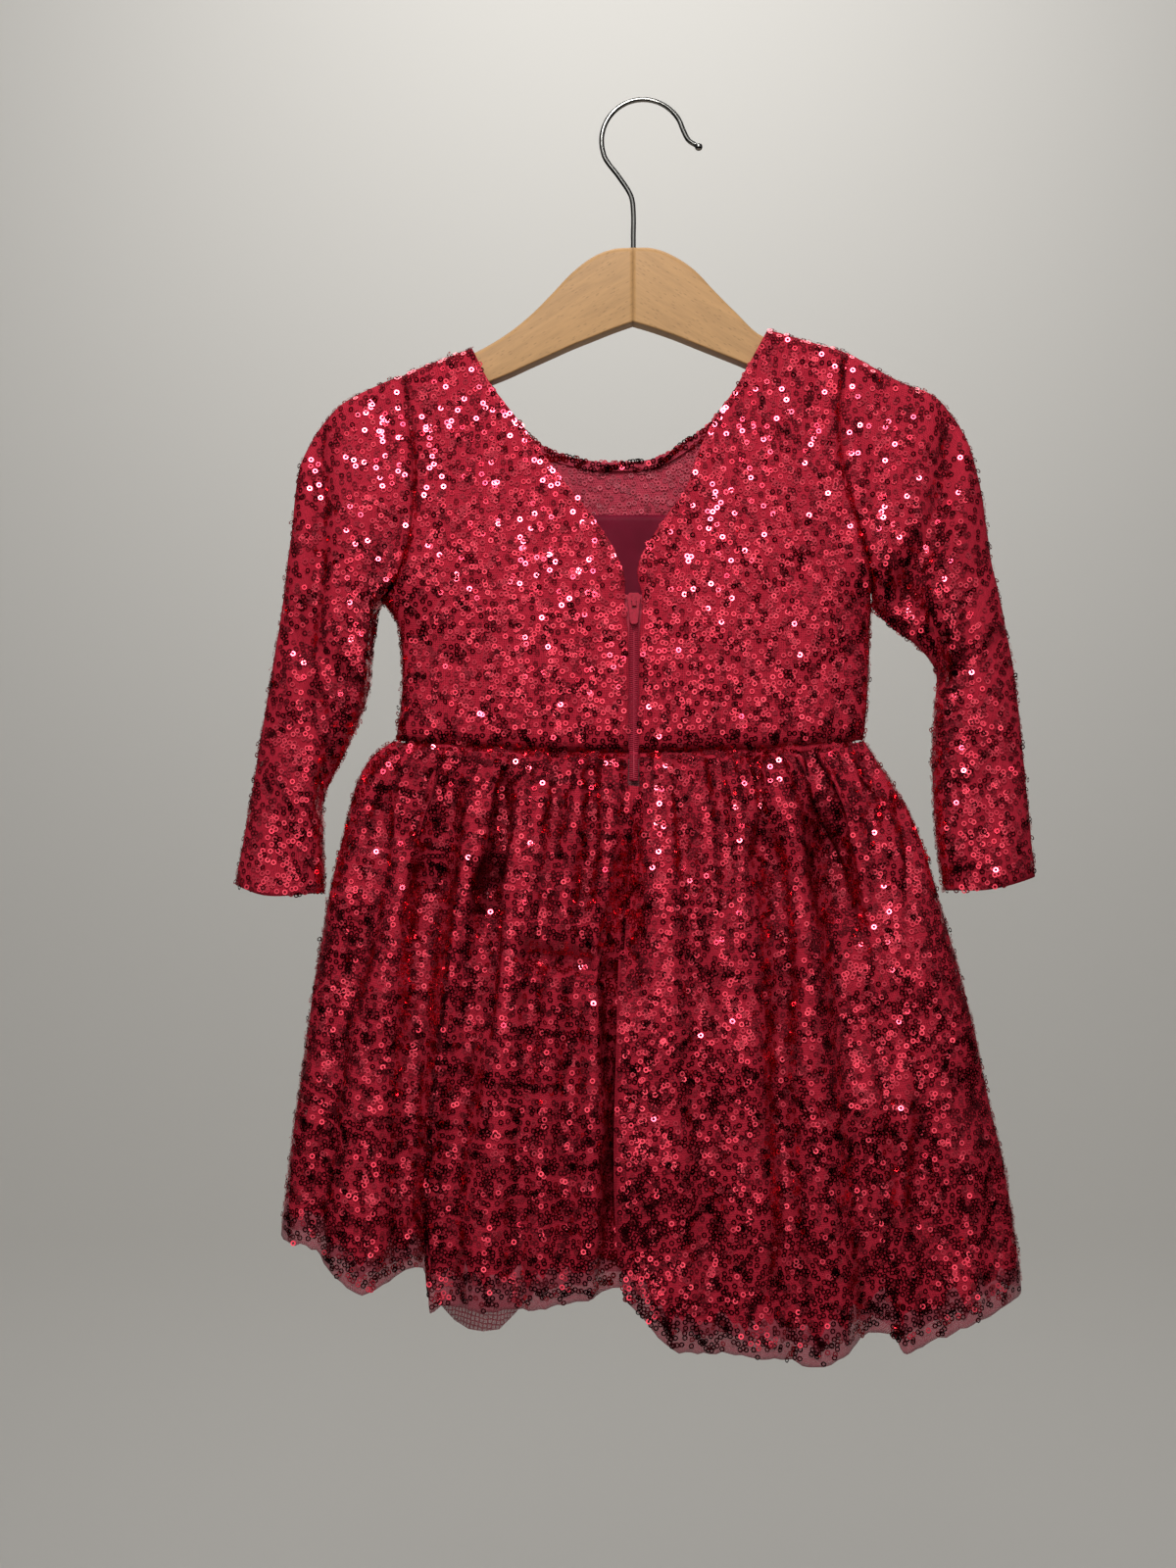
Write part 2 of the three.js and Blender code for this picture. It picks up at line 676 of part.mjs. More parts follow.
// Shares of the skirt's width at evenly spaced steps along its face.
const FACE_STEPS = (() => {
  const fine = 400;
  const reach = [0];
  const shares = [0];
  for (let i = 1; i <= fine; i += 1) {
    const [f0, f1] = [(1 - Math.cos((Math.PI * (i - 1)) / fine)) / 2, (1 - Math.cos((Math.PI * i) / fine)) / 2];
    const dx = 2 * SKIRT_MEAN.halfWidth * (f1 - f0);
    const dy = SKIRT_MEAN.depth * (ovalHeight(1 - 2 * f1) - ovalHeight(1 - 2 * f0));
    reach.push(reach[i - 1] + Math.hypot(dx, dy));
    shares.push(f1);
  }
  const total = reach[fine];
  return { places: reach.map((r) => r / total), shares };
})();

const shareAt = (s) => cubic(FACE_STEPS.places, FACE_STEPS.shares, s);

function foldDepth(folds, f, v) {
  let sum = 0;
  for (const fold of folds) {
    const middle = lerp(fold.top, fold.hem, v);
    const grown = smooth((v - fold.from) / (fold.full - fold.from));
    sum += fold.depth * grown * Math.exp(-(((f - middle) / fold.width) ** 2));
  }
  return sum;
}

// Uneven short gathers that stand out just below the waist and die out down the skirt.
function gatherHeight(s, v) {
  const uneven = 0.9 * Math.sin(2 * Math.PI * 3 * s) + 0.6 * Math.sin(2 * Math.PI * 7 * s + 1);
  const grown = lerp(GATHER_SEWN, GATHER_FULL, smooth(v / 0.06)) * Math.exp(-v / 0.22);
  return grown * Math.sin(2 * Math.PI * GATHERS * s + uneven);
}

// A point of the skirt. s runs over one face from its left side, v from the waist to the hem.
function skirtPoint(face, s, v, inset, { gathered = true, longer = 0 } = {}) {
  const f = shareAt(s);
  const hem = column(face === 'back' ? HEM_BACK : HEM_FRONT, 'f', 'z', f) - longer;
  const waistX = lerp(SKIRT_SIZES[0].left, SKIRT_SIZES[0].right, f);
  const z = lerp(waistZ(waistX) - EDGE, hem, v);
  const left = column(SKIRT_SIZES, 'z', 'left', z);
  const right = column(SKIRT_SIZES, 'z', 'right', z);
  const deep = column(SKIRT_SIZES, 'z', face, z);
  const cosine = 1 - 2 * f;
  const sine = ovalHeight(cosine);
  const half = (right - left) / 2;
  const nx = -Math.sign(cosine) * (Math.abs(cosine) ** (OVAL - 1) / half);
  const ny = sine ** (OVAL - 1) / deep;
  const length = Math.hypot(nx, ny);
  const folds = foldDepth(face === 'back' ? FOLDS_BACK : FOLDS_FRONT, f, v);
  const out = (gathered ? gatherHeight(s, v) * sine ** 0.5 : 0) - folds * sine - inset;
  const sway = (column(CENTRE_SEAM, 'z', 'x', z) - (left + right) / 2) * (1 - cosine * cosine);
  const x = lerp(left, right, f) + sway + (nx / length) * out;
  const y = Math.max(EDGE, deep * sine + (ny / length) * out);
  return [x, face === 'back' ? -y : y, z];
}

const spread = (from, to, count) => Array.from({ length: count + 1 }, (_, i) => lerp(from, to, i / count));
const ZIP_SHARE = ZIP_GAP / 2 / 250; // half the zip's gap as a share of the skirt's face
const SEAM_SHARE = EDGE / 300;

// Half the gap at the centre-back seam, which is open to the zip's end.
function centreGap(v) {
  return lerp(ZIP_SHARE, SEAM_SHARE, smooth((v - ZIP_END_SHARE) / 0.048));
}

function skirtBack(side) {
  const half = (GATHERS * COLUMNS_PER_GATHER.back) / 2;
  const point = (t, v, inset) => {
    const edge = 0.5 - centreGap(v);
    return skirtPoint('back', side === 'left' ? t * edge : 1 - t * edge, v, inset);
  };
  return wall(spread(0, 1, half), SKIRT_ROWS, point, WALL);
}

function skirtFront() {
  const point = (s, v, inset) => skirtPoint('front', s, v, inset);
  return wall(spread(0, 1, GATHERS * COLUMNS_PER_GATHER.front), SKIRT_ROWS, point, WALL);
}

// How much lower than the skirt's back hem the net hangs: it shows in one place.
const NET_BELOW_HEM = [
  { f: 0, z: -6 },
  { f: 0.225, z: -6 },
  { f: 0.25, z: 8.5 },
  { f: 0.335, z: 8.5 },
  { f: 0.36, z: -6 },
  { f: 1, z: -6 },
];
const NET_ABOVE_FRONT_HEM = 6;
const NET_ROWS = [0, 0.1, 0.28, 0.5, 0.75, 1];

function netUnderskirt() {
  const count = 32;
  const point = (index, v, inset) => {
    const face = index < count ? 'back' : 'front';
    const s = index < count ? index / count : (2 * count - index) / count;
    const below = face === 'back' ? column(NET_BELOW_HEM, 'f', 'z', shareAt(s)) : -NET_ABOVE_FRONT_HEM;
    const shape = { gathered: false, longer: below * v };
    const [x, y, z] = skirtPoint(face, s, v, inset + NET_INSET, shape);
    return [x, s === 0 || s === 1 ? 0 : y, z];
  };
  return wall(spread(0, 2 * count - 1, 2 * count - 1), NET_ROWS, point, NET_WALL, true);
}

// ---------------------------------------------------------------- zip

// Where the centre-back line lies at a height: [x, y] on the cloth's outer face.
function centreBack(z) {
  if (z > waistZ(CENTRE_X)) return bodicePoint('back', CENTRE_X, z, 0).slice(0, 2);
  const v = (waistZ(CENTRE_X) - z) / (waistZ(CENTRE_X) - column(HEM_BACK, 'f', 'z', 0.5));
  return skirtPoint('back', 0.5, v, 0).slice(0, 2);
}
const surfaceBackY = (z) => centreBack(z)[1];

// A flat strip down the centre back, from one side of the centre line to the other, with its
// outer face `deep` inside the cloth's.
function zipStrip(from, to, fromZ, toZ, deep, thick) {
  const steps = spread(0, 1, 14);
  const corner = 0.35;
  return loft(steps.map((t) => {
    const z = lerp(fromZ, toZ, t);
    const [centre, surface] = centreBack(z);
    const [fromX, toX] = [centre + from, centre + to];
    const outer = surface + deep;
    const inner = outer + thick;
    return [
      [fromX, inner, z], [toX, inner, z], [toX, outer + corner, z], [toX - corner, outer, z],
      [fromX + corner, outer, z], [fromX, outer + corner, z],
    ];
  }));
}

const SLIDER_LENGTH = 7.8;
const SLIDER = { width: 6.6, length: SLIDER_LENGTH, thick: 2.4, top: SLIDER_LOW_Z + SLIDER_LENGTH };
const BRIDGE = { width: 1.8, length: 5.8, post: 1.1, inside: 2, crown: 0.9 };
const TAB = { width: 5, length: 11.5, thick: 1, bar: 1, window: 3.4, windowWidth: 2.5, tip: 3.6 };
const SLIDER_FACE_Y = surfaceBackY(SLIDER.top) - 1.1; // the slider stands proud of the cloth
const AXIS = { y: SLIDER_FACE_Y - BRIDGE.inside / 2, z: SLIDER.top - SLIDER.length / 2 + 0.4 };

// An outline in the XZ plane pushed along Y between two planes.
function slab(outline, nearY, farY) {
  const shape = new THREE.Shape(outline.map(([x, z]) => new THREE.Vector2(x, z)));
  const geometry = new THREE.ExtrudeGeometry(shape, { depth: farY - nearY, bevelEnabled: false });
  geometry.rotateX(Math.PI / 2);
  geometry.translate(0, farY, 0);
  return geometry;
}

function slider() {
  const { width, length, thick, top } = SLIDER;
  const low = top - length;
  const body = slab([
    [CENTRE_X - width / 2 + 1.2, top], [CENTRE_X + width / 2 - 1.2, top],
    [CENTRE_X + width / 2, top - 1.4], [CENTRE_X + width / 2 - 0.9, low],
    [CENTRE_X - width / 2 + 0.9, low], [CENTRE_X - width / 2, top - 1.4],
  ], SLIDER_FACE_Y, SLIDER_FACE_Y + thick);
  // The coil runs into a throat at the slider's lower end.
  const throat = new THREE.BoxGeometry(COIL_WIDTH + 2 * SEAM, COIL_THICK + 2 * SEAM, 4);
  throat.translate(CENTRE_X, surfaceBackY(top) + COIL_THICK / 2 - 0.1, low);
  const { width: wide, length: long, post, inside, crown } = BRIDGE;
  const bridge = new THREE.BoxGeometry(wide, inside + crown + 0.2, long);
  bridge.translate(CENTRE_X, SLIDER_FACE_Y + 0.2 - (inside + crown + 0.2) / 2, AXIS.z);
  const gap = new THREE.BoxGeometry(wide + 1, inside, long - 2 * post);
  gap.translate(CENTRE_X, SLIDER_FACE_Y - inside / 2, AXIS.z);
  return fromSolid(toSolid(body).subtract(toSolid(throat)).add(toSolid(bridge).subtract(toSolid(gap))));
}

function pullTab() {
  const { width, length, thick, bar, window: tall, windowWidth, tip } = TAB;
  const top = AXIS.z + bar / 2;
  const low = AXIS.z - length;
  const outline = [
    [CENTRE_X - 2, top], [CENTRE_X + 2, top], [CENTRE_X + width / 2 - 0.3, top - 1.2],
    [CENTRE_X + width / 2, top - 4.5], [CENTRE_X + tip / 2, low + 1],
    [CENTRE_X + tip / 2 - 0.8, low], [CENTRE_X - tip / 2 + 0.8, low], [CENTRE_X - tip / 2, low + 1],
    [CENTRE_X - width / 2, top - 4.5], [CENTRE_X - width / 2 + 0.3, top - 1.2],
  ];
  const plate = slab(outline, AXIS.y - thick / 2, AXIS.y + thick / 2);
  const opening = new THREE.BoxGeometry(windowWidth, 3 * thick, tall);
  opening.translate(CENTRE_X, AXIS.y, top - bar - tall / 2);
  return fromSolid(toSolid(plate).subtract(toSolid(opening)));
}

// ---------------------------------------------------------------- hanger and hook

function hangerHalf(side) {
  const sign = side === 'left' ? -1 : 1;
  const top = side === 'left' ? 'topLeft' : 'topRight';
  const low = side === 'left' ? 'lowLeft' : 'lowRight';
  const rings = HANGER_ARMS.map((row, index) => {
    const x = CENTRE_X + sign * row.u;
    const half = index === HANGER_ARMS.length - 1 ? WOOD_HALF_THICK - 2 : WOOD_HALF_THICK;
    const round = Math.min(3.6, (row[top] - row[low]) * 0.4);
    // A section with a well rounded top and a slightly broken lower edge.
    return [
      [-half, row[low] + 1], [-half + 1, row[low]], [half - 1, row[low]], [half, row[low] + 1],
      [half, row[top] - round], [half - round * 0.3, row[top] - round * 0.3],
      [half - round, row[top]], [-half + round, row[top]],
      [-half + round * 0.3, row[top] - round * 0.3], [-half, row[top] - round],
    ].map(([y, z]) => [x, y, z]);
  });
  const bore = new THREE.CylinderGeometry(WIRE_R + SEAM, WIRE_R + SEAM, 2 * SHANK_DEPTH + 1, 12);
  bore.rotateX(Math.PI / 2);
  bore.translate(SHANK_X, 0, HANGER_ARMS[0][top]);
  return fromSolid(toSolid(loft(rings)).subtract(toSolid(bore)));
}

// The hook's centre line: a shank, a bend to the loop, the loop and the lip that carries the ball.
function hookLine() {
  const points = [
    new THREE.Vector3(SHANK_X, 0, HANGER_ARMS[0].topLeft - SHANK_DEPTH + 0.5),
    new THREE.Vector3(SHANK_X, 0, -66),
    new THREE.Vector3(SHANK_X, 0, -54),
    new THREE.Vector3(-6, 0, -46),
    new THREE.Vector3(-11.6, 0, -37),
  ];
  const centreZ = WIRE_R - HOOK_R;
  for (let degrees = 207; degrees >= 15; degrees -= 16) {
    const angle = (degrees * Math.PI) / 180;
    points.push(new THREE.Vector3(HOOK_R * Math.cos(angle), 0, centreZ + HOOK_R * Math.sin(angle)));
  }
  points.push(new THREE.Vector3(22.2, 0, -18.6), new THREE.Vector3(26, 0, -21.2));
  return new THREE.CatmullRomCurve3(points, false, 'centripetal');
}

function hook() {
  const curve = hookLine();
  const steps = 42;
  const sides = 8;
  const rings = [];
  const ringAt = (centre, radius, tangent) => {
    const across = new THREE.Vector3(-tangent.z, 0, tangent.x).normalize();
    rings.push(Array.from({ length: sides }, (_, i) => {
      const angle = (2 * Math.PI * i) / sides;
      const [c, s] = [Math.cos(angle) * radius, Math.sin(angle) * radius];
      return [centre.x + across.x * c, s, centre.z + across.z * c];
    }));
  };
  for (let i = 0; i <= steps; i += 1) {
    ringAt(curve.getPointAt(i / steps), WIRE_R, curve.getTangentAt(i / steps));
  }
  const end = curve.getPointAt(1);
  const along = curve.getTangentAt(1);
  for (const turn of [45, 70, 95, 120, 145, 165]) {
    const angle = (turn * Math.PI) / 180;
    const reach = HOOK_BALL_R * (Math.cos(Math.PI / 4) - Math.cos(angle));
    ringAt(end.clone().addScaledVector(along, reach), HOOK_BALL_R * Math.sin(angle), along);
  }
  return loft(rings);
}

// ---------------------------------------------------------------- the part

addMesh('hook', hook(), STEEL, 0.2, 1);
addMesh('hanger_left', hangerHalf('left'), BEECH, 0.5, 0);
addMesh('hanger_right', hangerHalf('right'), BEECH, 0.5, 0);
addMesh('bodice_back_left', backPanel('left'), SEQUIN_RED, 0.4, 0.2);
addMesh('bodice_back_right', backPanel('right'), SEQUIN_RED, 0.4, 0.2);
addMesh('bodice_front', frontPanel(), INSIDE_RED, 0.5, 0.1);
addMesh('lining_front', frontLining(), LINING_RED, 0.5, 0);
addMesh('neck_hem_front', neckHem(), INSIDE_RED, 0.5, 0.1);
addMesh('sleeve_left', sleeve('left'), SEQUIN_RED, 0.4, 0.2);
addMesh('sleeve_right', sleeve('right'), SEQUIN_RED, 0.4, 0.2);
addMesh('skirt_back_left', skirtBack('left'), SEQUIN_RED, 0.4, 0.2);
addMesh('skirt_back_right', skirtBack('right'), SEQUIN_RED, 0.4, 0.2);
addMesh('skirt_front', skirtFront(), SEQUIN_RED, 0.4, 0.2);
addMesh('net_underskirt', netUnderskirt(), NET_PINK, 0.7, 0);

const tapeDeep = WALL + SEAM;
const tapeLow = waistZ(CENTRE_X) + 1;
const coilTop = SLIDER_LOW_Z + 0.4;
addMesh('zip_coil', zipStrip(-COIL_WIDTH / 2, COIL_WIDTH / 2,
  coilTop, ZIP_END_Z, -0.1, COIL_THICK), ZIP_RED, 0.5, 0);
addMesh('zip_tape_left', zipStrip(-TAPE_WIDTH, -EDGE,
  ZIP_TOP_Z, tapeLow, tapeDeep, TAPE_THICK), ZIP_RED, 0.6, 0);
addMesh('zip_tape_right', zipStrip(EDGE, TAPE_WIDTH,
  ZIP_TOP_Z, tapeLow, tapeDeep, TAPE_THICK), ZIP_RED, 0.6, 0);
addMesh('zip_slider', slider(), ZIP_RED, 0.35, 0.5);
addMesh('zip_pull_tab', pullTab(), ZIP_RED, 0.35, 0.5);

export default part;
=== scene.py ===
"""A child's long-sleeved sequin dress on a beech hanger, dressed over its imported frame.

Shapes are worked out in millimetres, in the frame's own axes: +X to the wearer's right, -Y behind
the wearer, +Z up, with the origin inside the crown of the hanger's hook. They become metres when
a mesh is made.
"""

import math

import bpy
import numpy as np
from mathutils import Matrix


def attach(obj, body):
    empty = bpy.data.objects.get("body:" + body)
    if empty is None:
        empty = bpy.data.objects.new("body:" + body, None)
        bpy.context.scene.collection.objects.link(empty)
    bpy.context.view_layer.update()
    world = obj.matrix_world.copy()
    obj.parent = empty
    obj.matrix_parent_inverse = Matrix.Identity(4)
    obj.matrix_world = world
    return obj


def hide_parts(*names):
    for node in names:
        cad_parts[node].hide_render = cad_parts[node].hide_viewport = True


bl_info = {
    "name": "Sequin dress",
    "version": (1, 0, 0),
    "blender": (4, 5, 0),
    "location": "3D View > Sidebar > Dress",
    "description": "Makes the cloth, sequins, zip and hanger of a child's sequin dress",
    "category": "Object",
}

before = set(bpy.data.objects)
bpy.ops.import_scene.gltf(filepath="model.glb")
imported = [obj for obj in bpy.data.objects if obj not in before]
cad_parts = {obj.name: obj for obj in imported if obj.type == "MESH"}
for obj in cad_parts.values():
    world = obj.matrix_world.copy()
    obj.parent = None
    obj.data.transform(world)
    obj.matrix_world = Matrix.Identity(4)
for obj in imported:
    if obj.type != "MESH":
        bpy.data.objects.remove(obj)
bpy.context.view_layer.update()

MM = 0.001
DRESS = "dress_on_hanger"

# ---------------------------------------------------------------- sizes shared with the frame, mm

EDGE = 0.15  # half the gap between two pieces that are sewn together
CENTRE_X = -5.0  # centre line of the dress and of the hanger
OVAL = 2.5  # exponent of the flattened oval that every section follows
CREST = 9.0  # height over which the shoulder rounds over the hanger
UNDERARM = 0.4  # share of a bodice edge that lies below the underarm
WAIST_SIDE_Z = -312.5
WAIST_SAG = 6.3  # the waist seam hangs lower in the middle than at the sides
LINING_TOP_Z = -200.6
LINING_DEEP = 2.7  # of the lining's outer face inside the front's
NECK_HEM_WIDTH = 4.5
NET_INSET = 7.0
ZIP_GAP = 5.2
ZIP_TOP_Z = -243.0
SLIDER_LOW_Z = -250.2
ZIP_END_Z = -333.0
ZIP_END_SHARE = 0.062
COIL_WIDTH = 4.5
NET_PITCH = 1.1  # of the knitted net's holes
LINING_WALL = 0.6
HEM_WALL = 0.7
TULLE_WALL = 0.5
RAW_WALL = 0.25
TAPE_WALL = 0.6
SEAM_WALL = 0.4
TAPE_WIDTH = 10.0
GATHERS = 20  # broad gathers on each face of the skirt
WIRE_R = 1.25
HOOK_R = 20.35
HOOK_BALL_R = 1.95
SHANK_X = -4.8
WOOD_HALF_THICK = 5.5


def table(names, *rows):
    """A short table as one array for each named column, sorted by its first column."""
    data = np.array(sorted(rows), float)
    return dict(zip(names.split(), data.T))


def points(*rows):
    """Points of a line in the XZ plane, in order."""
    return np.array(rows, float)


BODICE_DEPTH = table(
    "z back front",
    (-319, 16.5, 14.5),
    (-285, 17.5, 15),
    (-245, 18, 15),
    (-210, 16.5, 14),
    (-175, 14, 12.5),
    (-145, 11, 10.5),
    (-112, 9.5, 9.5),
)
BODICE_SIDES = table(
    "z left right",
    (-319, -121, 107.5),
    (-288, -118, 110),
    (-266, -118.5, 111),
    (-254, -121, 111.2),
    (-245, -127.5, 112),
    (-232, -139, 121),
    (-210, -149, 132),
    (-170, -157, 141),
    (-112, -160, 144),
)
SIDE_SEAM = {
    "left": points((-121, -312.5), (-118, -288), (-118.5, -266), (-121, -254), (-127.5, -245)),
    "right": points((107.5, -312.5), (110, -288), (111, -266), (111.2, -254), (112, -248)),
}
ARMHOLE = {
    "left": points(
        (-117.6, -134), (-115, -145), (-113, -160), (-111.6, -177),
        (-111.6, -200), (-115, -221), (-119.5, -234), (-127.5, -245),
    ),
    "right": points(
        (99.4, -123), (97, -136), (95.2, -154), (95.6, -174),
        (99, -191), (105, -211), (110, -228), (112, -248),
    ),
}
BACK_NECK = {
    "left": points(
        (-9.3, -241), (-9.6, -233), (-12.8, -225), (-16.9, -217), (-24.7, -205.6), (-34, -194),
        (-53, -169), (-64, -154), (-75, -139), (-84, -121),
    ),
    "right": points(
        (-1.1, -241), (-3.4, -234), (-1.8, -225), (2.8, -217), (10.2, -205.6), (19.5, -193),
        (23.5, -182), (31, -163), (44.5, -142), (61, -112),
    ),
}
FRONT_NECK = points(
    (-84, -121), (-73, -142), (-60, -158.5), (-46, -168.5), (-28, -173.5), (-9, -174.5),
    (8, -172), (22, -164), (35, -154), (45, -142), (61, -112),
)
SLEEVE_OUTER = {
    "left": points(
        (-117.6, -134), (-140.6, -144), (-152.5, -153), (-162, -166), (-168.5, -181),
        (-172, -214), (-179.5, -267), (-189, -324), (-199, -383),
    ),
    "right": points(
        (99.4, -123), (124, -136.5), (143, -145), (157, -163), (165, -192),
        (171, -230), (181, -277), (186, -325), (191.5, -379),
    ),
}
SLEEVE_INNER = {
    "left": points(
        (-127.5, -245), (-135, -254), (-135, -270), (-135, -290),
        (-144, -315), (-156, -341), (-156.5, -360), (-156, -387),
    ),
    "right": points(
        (112, -248), (122, -258), (134, -266.5), (143, -279),
        (142.5, -297), (141.5, -326), (143.5, -360), (147, -386),
    ),
}
CUFF = {
    "left": points((-199, -383), (-182, -388), (-156, -387)),
    "right": points((191.5, -379), (168, -385), (147, -386)),
}
SLEEVE_DEPTH = table("t back front", (0, 14, 13), (0.3, 15, 13), (0.6, 13, 11), (1, 11, 9))
SKIRT_SIZES = table(
    "z left right back front",
    (-312, -121, 107.5, 16.5, 14.5),
    (-320, -132, 113, 19, 16),
    (-332, -139, 121, 23, 18),
    (-346, -143.5, 129.5, 26, 20),
    (-375, -150.5, 140, 30, 23),
    (-411, -157.5, 150.5, 33, 25),
    (-454, -164, 161.5, 36, 26),
    (-497, -170, 171, 38, 27),
    (-548, -176, 181, 40, 28),
    (-600, -178, 185, 41, 28),
)
# Height of the hem by the share of the skirt's width, from its left side.
HEM = {
    "back": table(
        "f z",
        (0, -553), (0.06, -558), (0.09, -568), (0.13, -575), (0.17, -571), (0.208, -565),
        (0.222, -583), (0.25, -581), (0.34, -581), (0.4, -579), (0.46, -575), (0.485, -572),
        (0.505, -577), (0.545, -597), (0.575, -600), (0.68, -603), (0.73, -608), (0.81, -596),
        (0.85, -605), (0.91, -594), (1, -580),
    ),
    "front": table(
        "f z",
        (0, -553), (0.15, -568), (0.3, -573), (0.5, -578), (0.7, -581), (0.85, -584), (1, -580),
    ),
}
# Soft folds of the skirt: their shares of its width at the waist and the hem, the shares of its
# length where they start and are full, their depth and their share of the width.
FOLDS = {
    "back": table(
        "top hem start full depth width",
        (0.06, 0.055, 0.05, 0.3, 7, 0.022),
        (0.165, 0.19, 0.02, 0.3, 12, 0.026),
        (0.275, 0.25, 0.02, 0.25, 8, 0.022),
        (0.37, 0.35, 0, 0.12, 5, 0.018),
        (0.43, 0.42, 0.02, 0.3, 6, 0.022),
        (0.5, 0.5, 0, 0.3, 15, 0.024),
        (0.6, 0.61, 0.05, 0.3, 5, 0.022),
        (0.73, 0.71, 0.02, 0.25, 8, 0.022),
        (0.83, 0.8, 0.02, 0.3, 10, 0.026),
        (0.93, 0.885, 0.03, 0.3, 8, 0.022),
    ),
    "front": table(
        "top hem start full depth width",
        (0.09, 0.08, 0.04, 0.3, 6, 0.026),
        (0.22, 0.2, 0.02, 0.3, 8, 0.026),
        (0.35, 0.33, 0.02, 0.25, 6, 0.024),
        (0.47, 0.46, 0.02, 0.3, 9, 0.026),
        (0.6, 0.61, 0.02, 0.25, 6, 0.024),
        (0.74, 0.75, 0.02, 0.3, 9, 0.026),
        (0.88, 0.9, 0.03, 0.3, 7, 0.026),
    ),
}
CENTRE_SEAM = table(
    "z x",
    (-312, -5), (-334, -5.3), (-382, -7.7), (-450, -9.6), (-530, -10.6), (-600, -5),
)
NET_BELOW_HEM = table(
    "f z", (0, -6), (0.225, -6), (0.25, 8.5), (0.335, 8.5), (0.36, -6), (1, -6)
)
NET_ABOVE_FRONT_HEM = 6.0
HANGER_ARMS = table(
    "u topLeft topRight lowLeft lowRight",
    (EDGE, -72, -72, -109, -109),
    (10, -72.8, -72.4, -112.5, -112),
    (20, -76.8, -76.2, -116.5, -115.5),
    (30, -84.5, -83, -120.5, -119.5),
    (40, -95, -93.5, -125, -123.5),
    (50, -105, -103.5, -129.5, -127.5),
    (62, -114.5, -114.6, -135, -132.5),
    (78, -123.7, -117.9, -141, -138),
    (95, -129.9, -123, -145.5, -141),
    (110, -137, -131, -149.5, -145),
    (124, -143, -138.5, -152, -148),
    (131, -147, -142.5, -152, -147.5),
)

# ---------------------------------------------------------------- creases of the hung cloth, mm

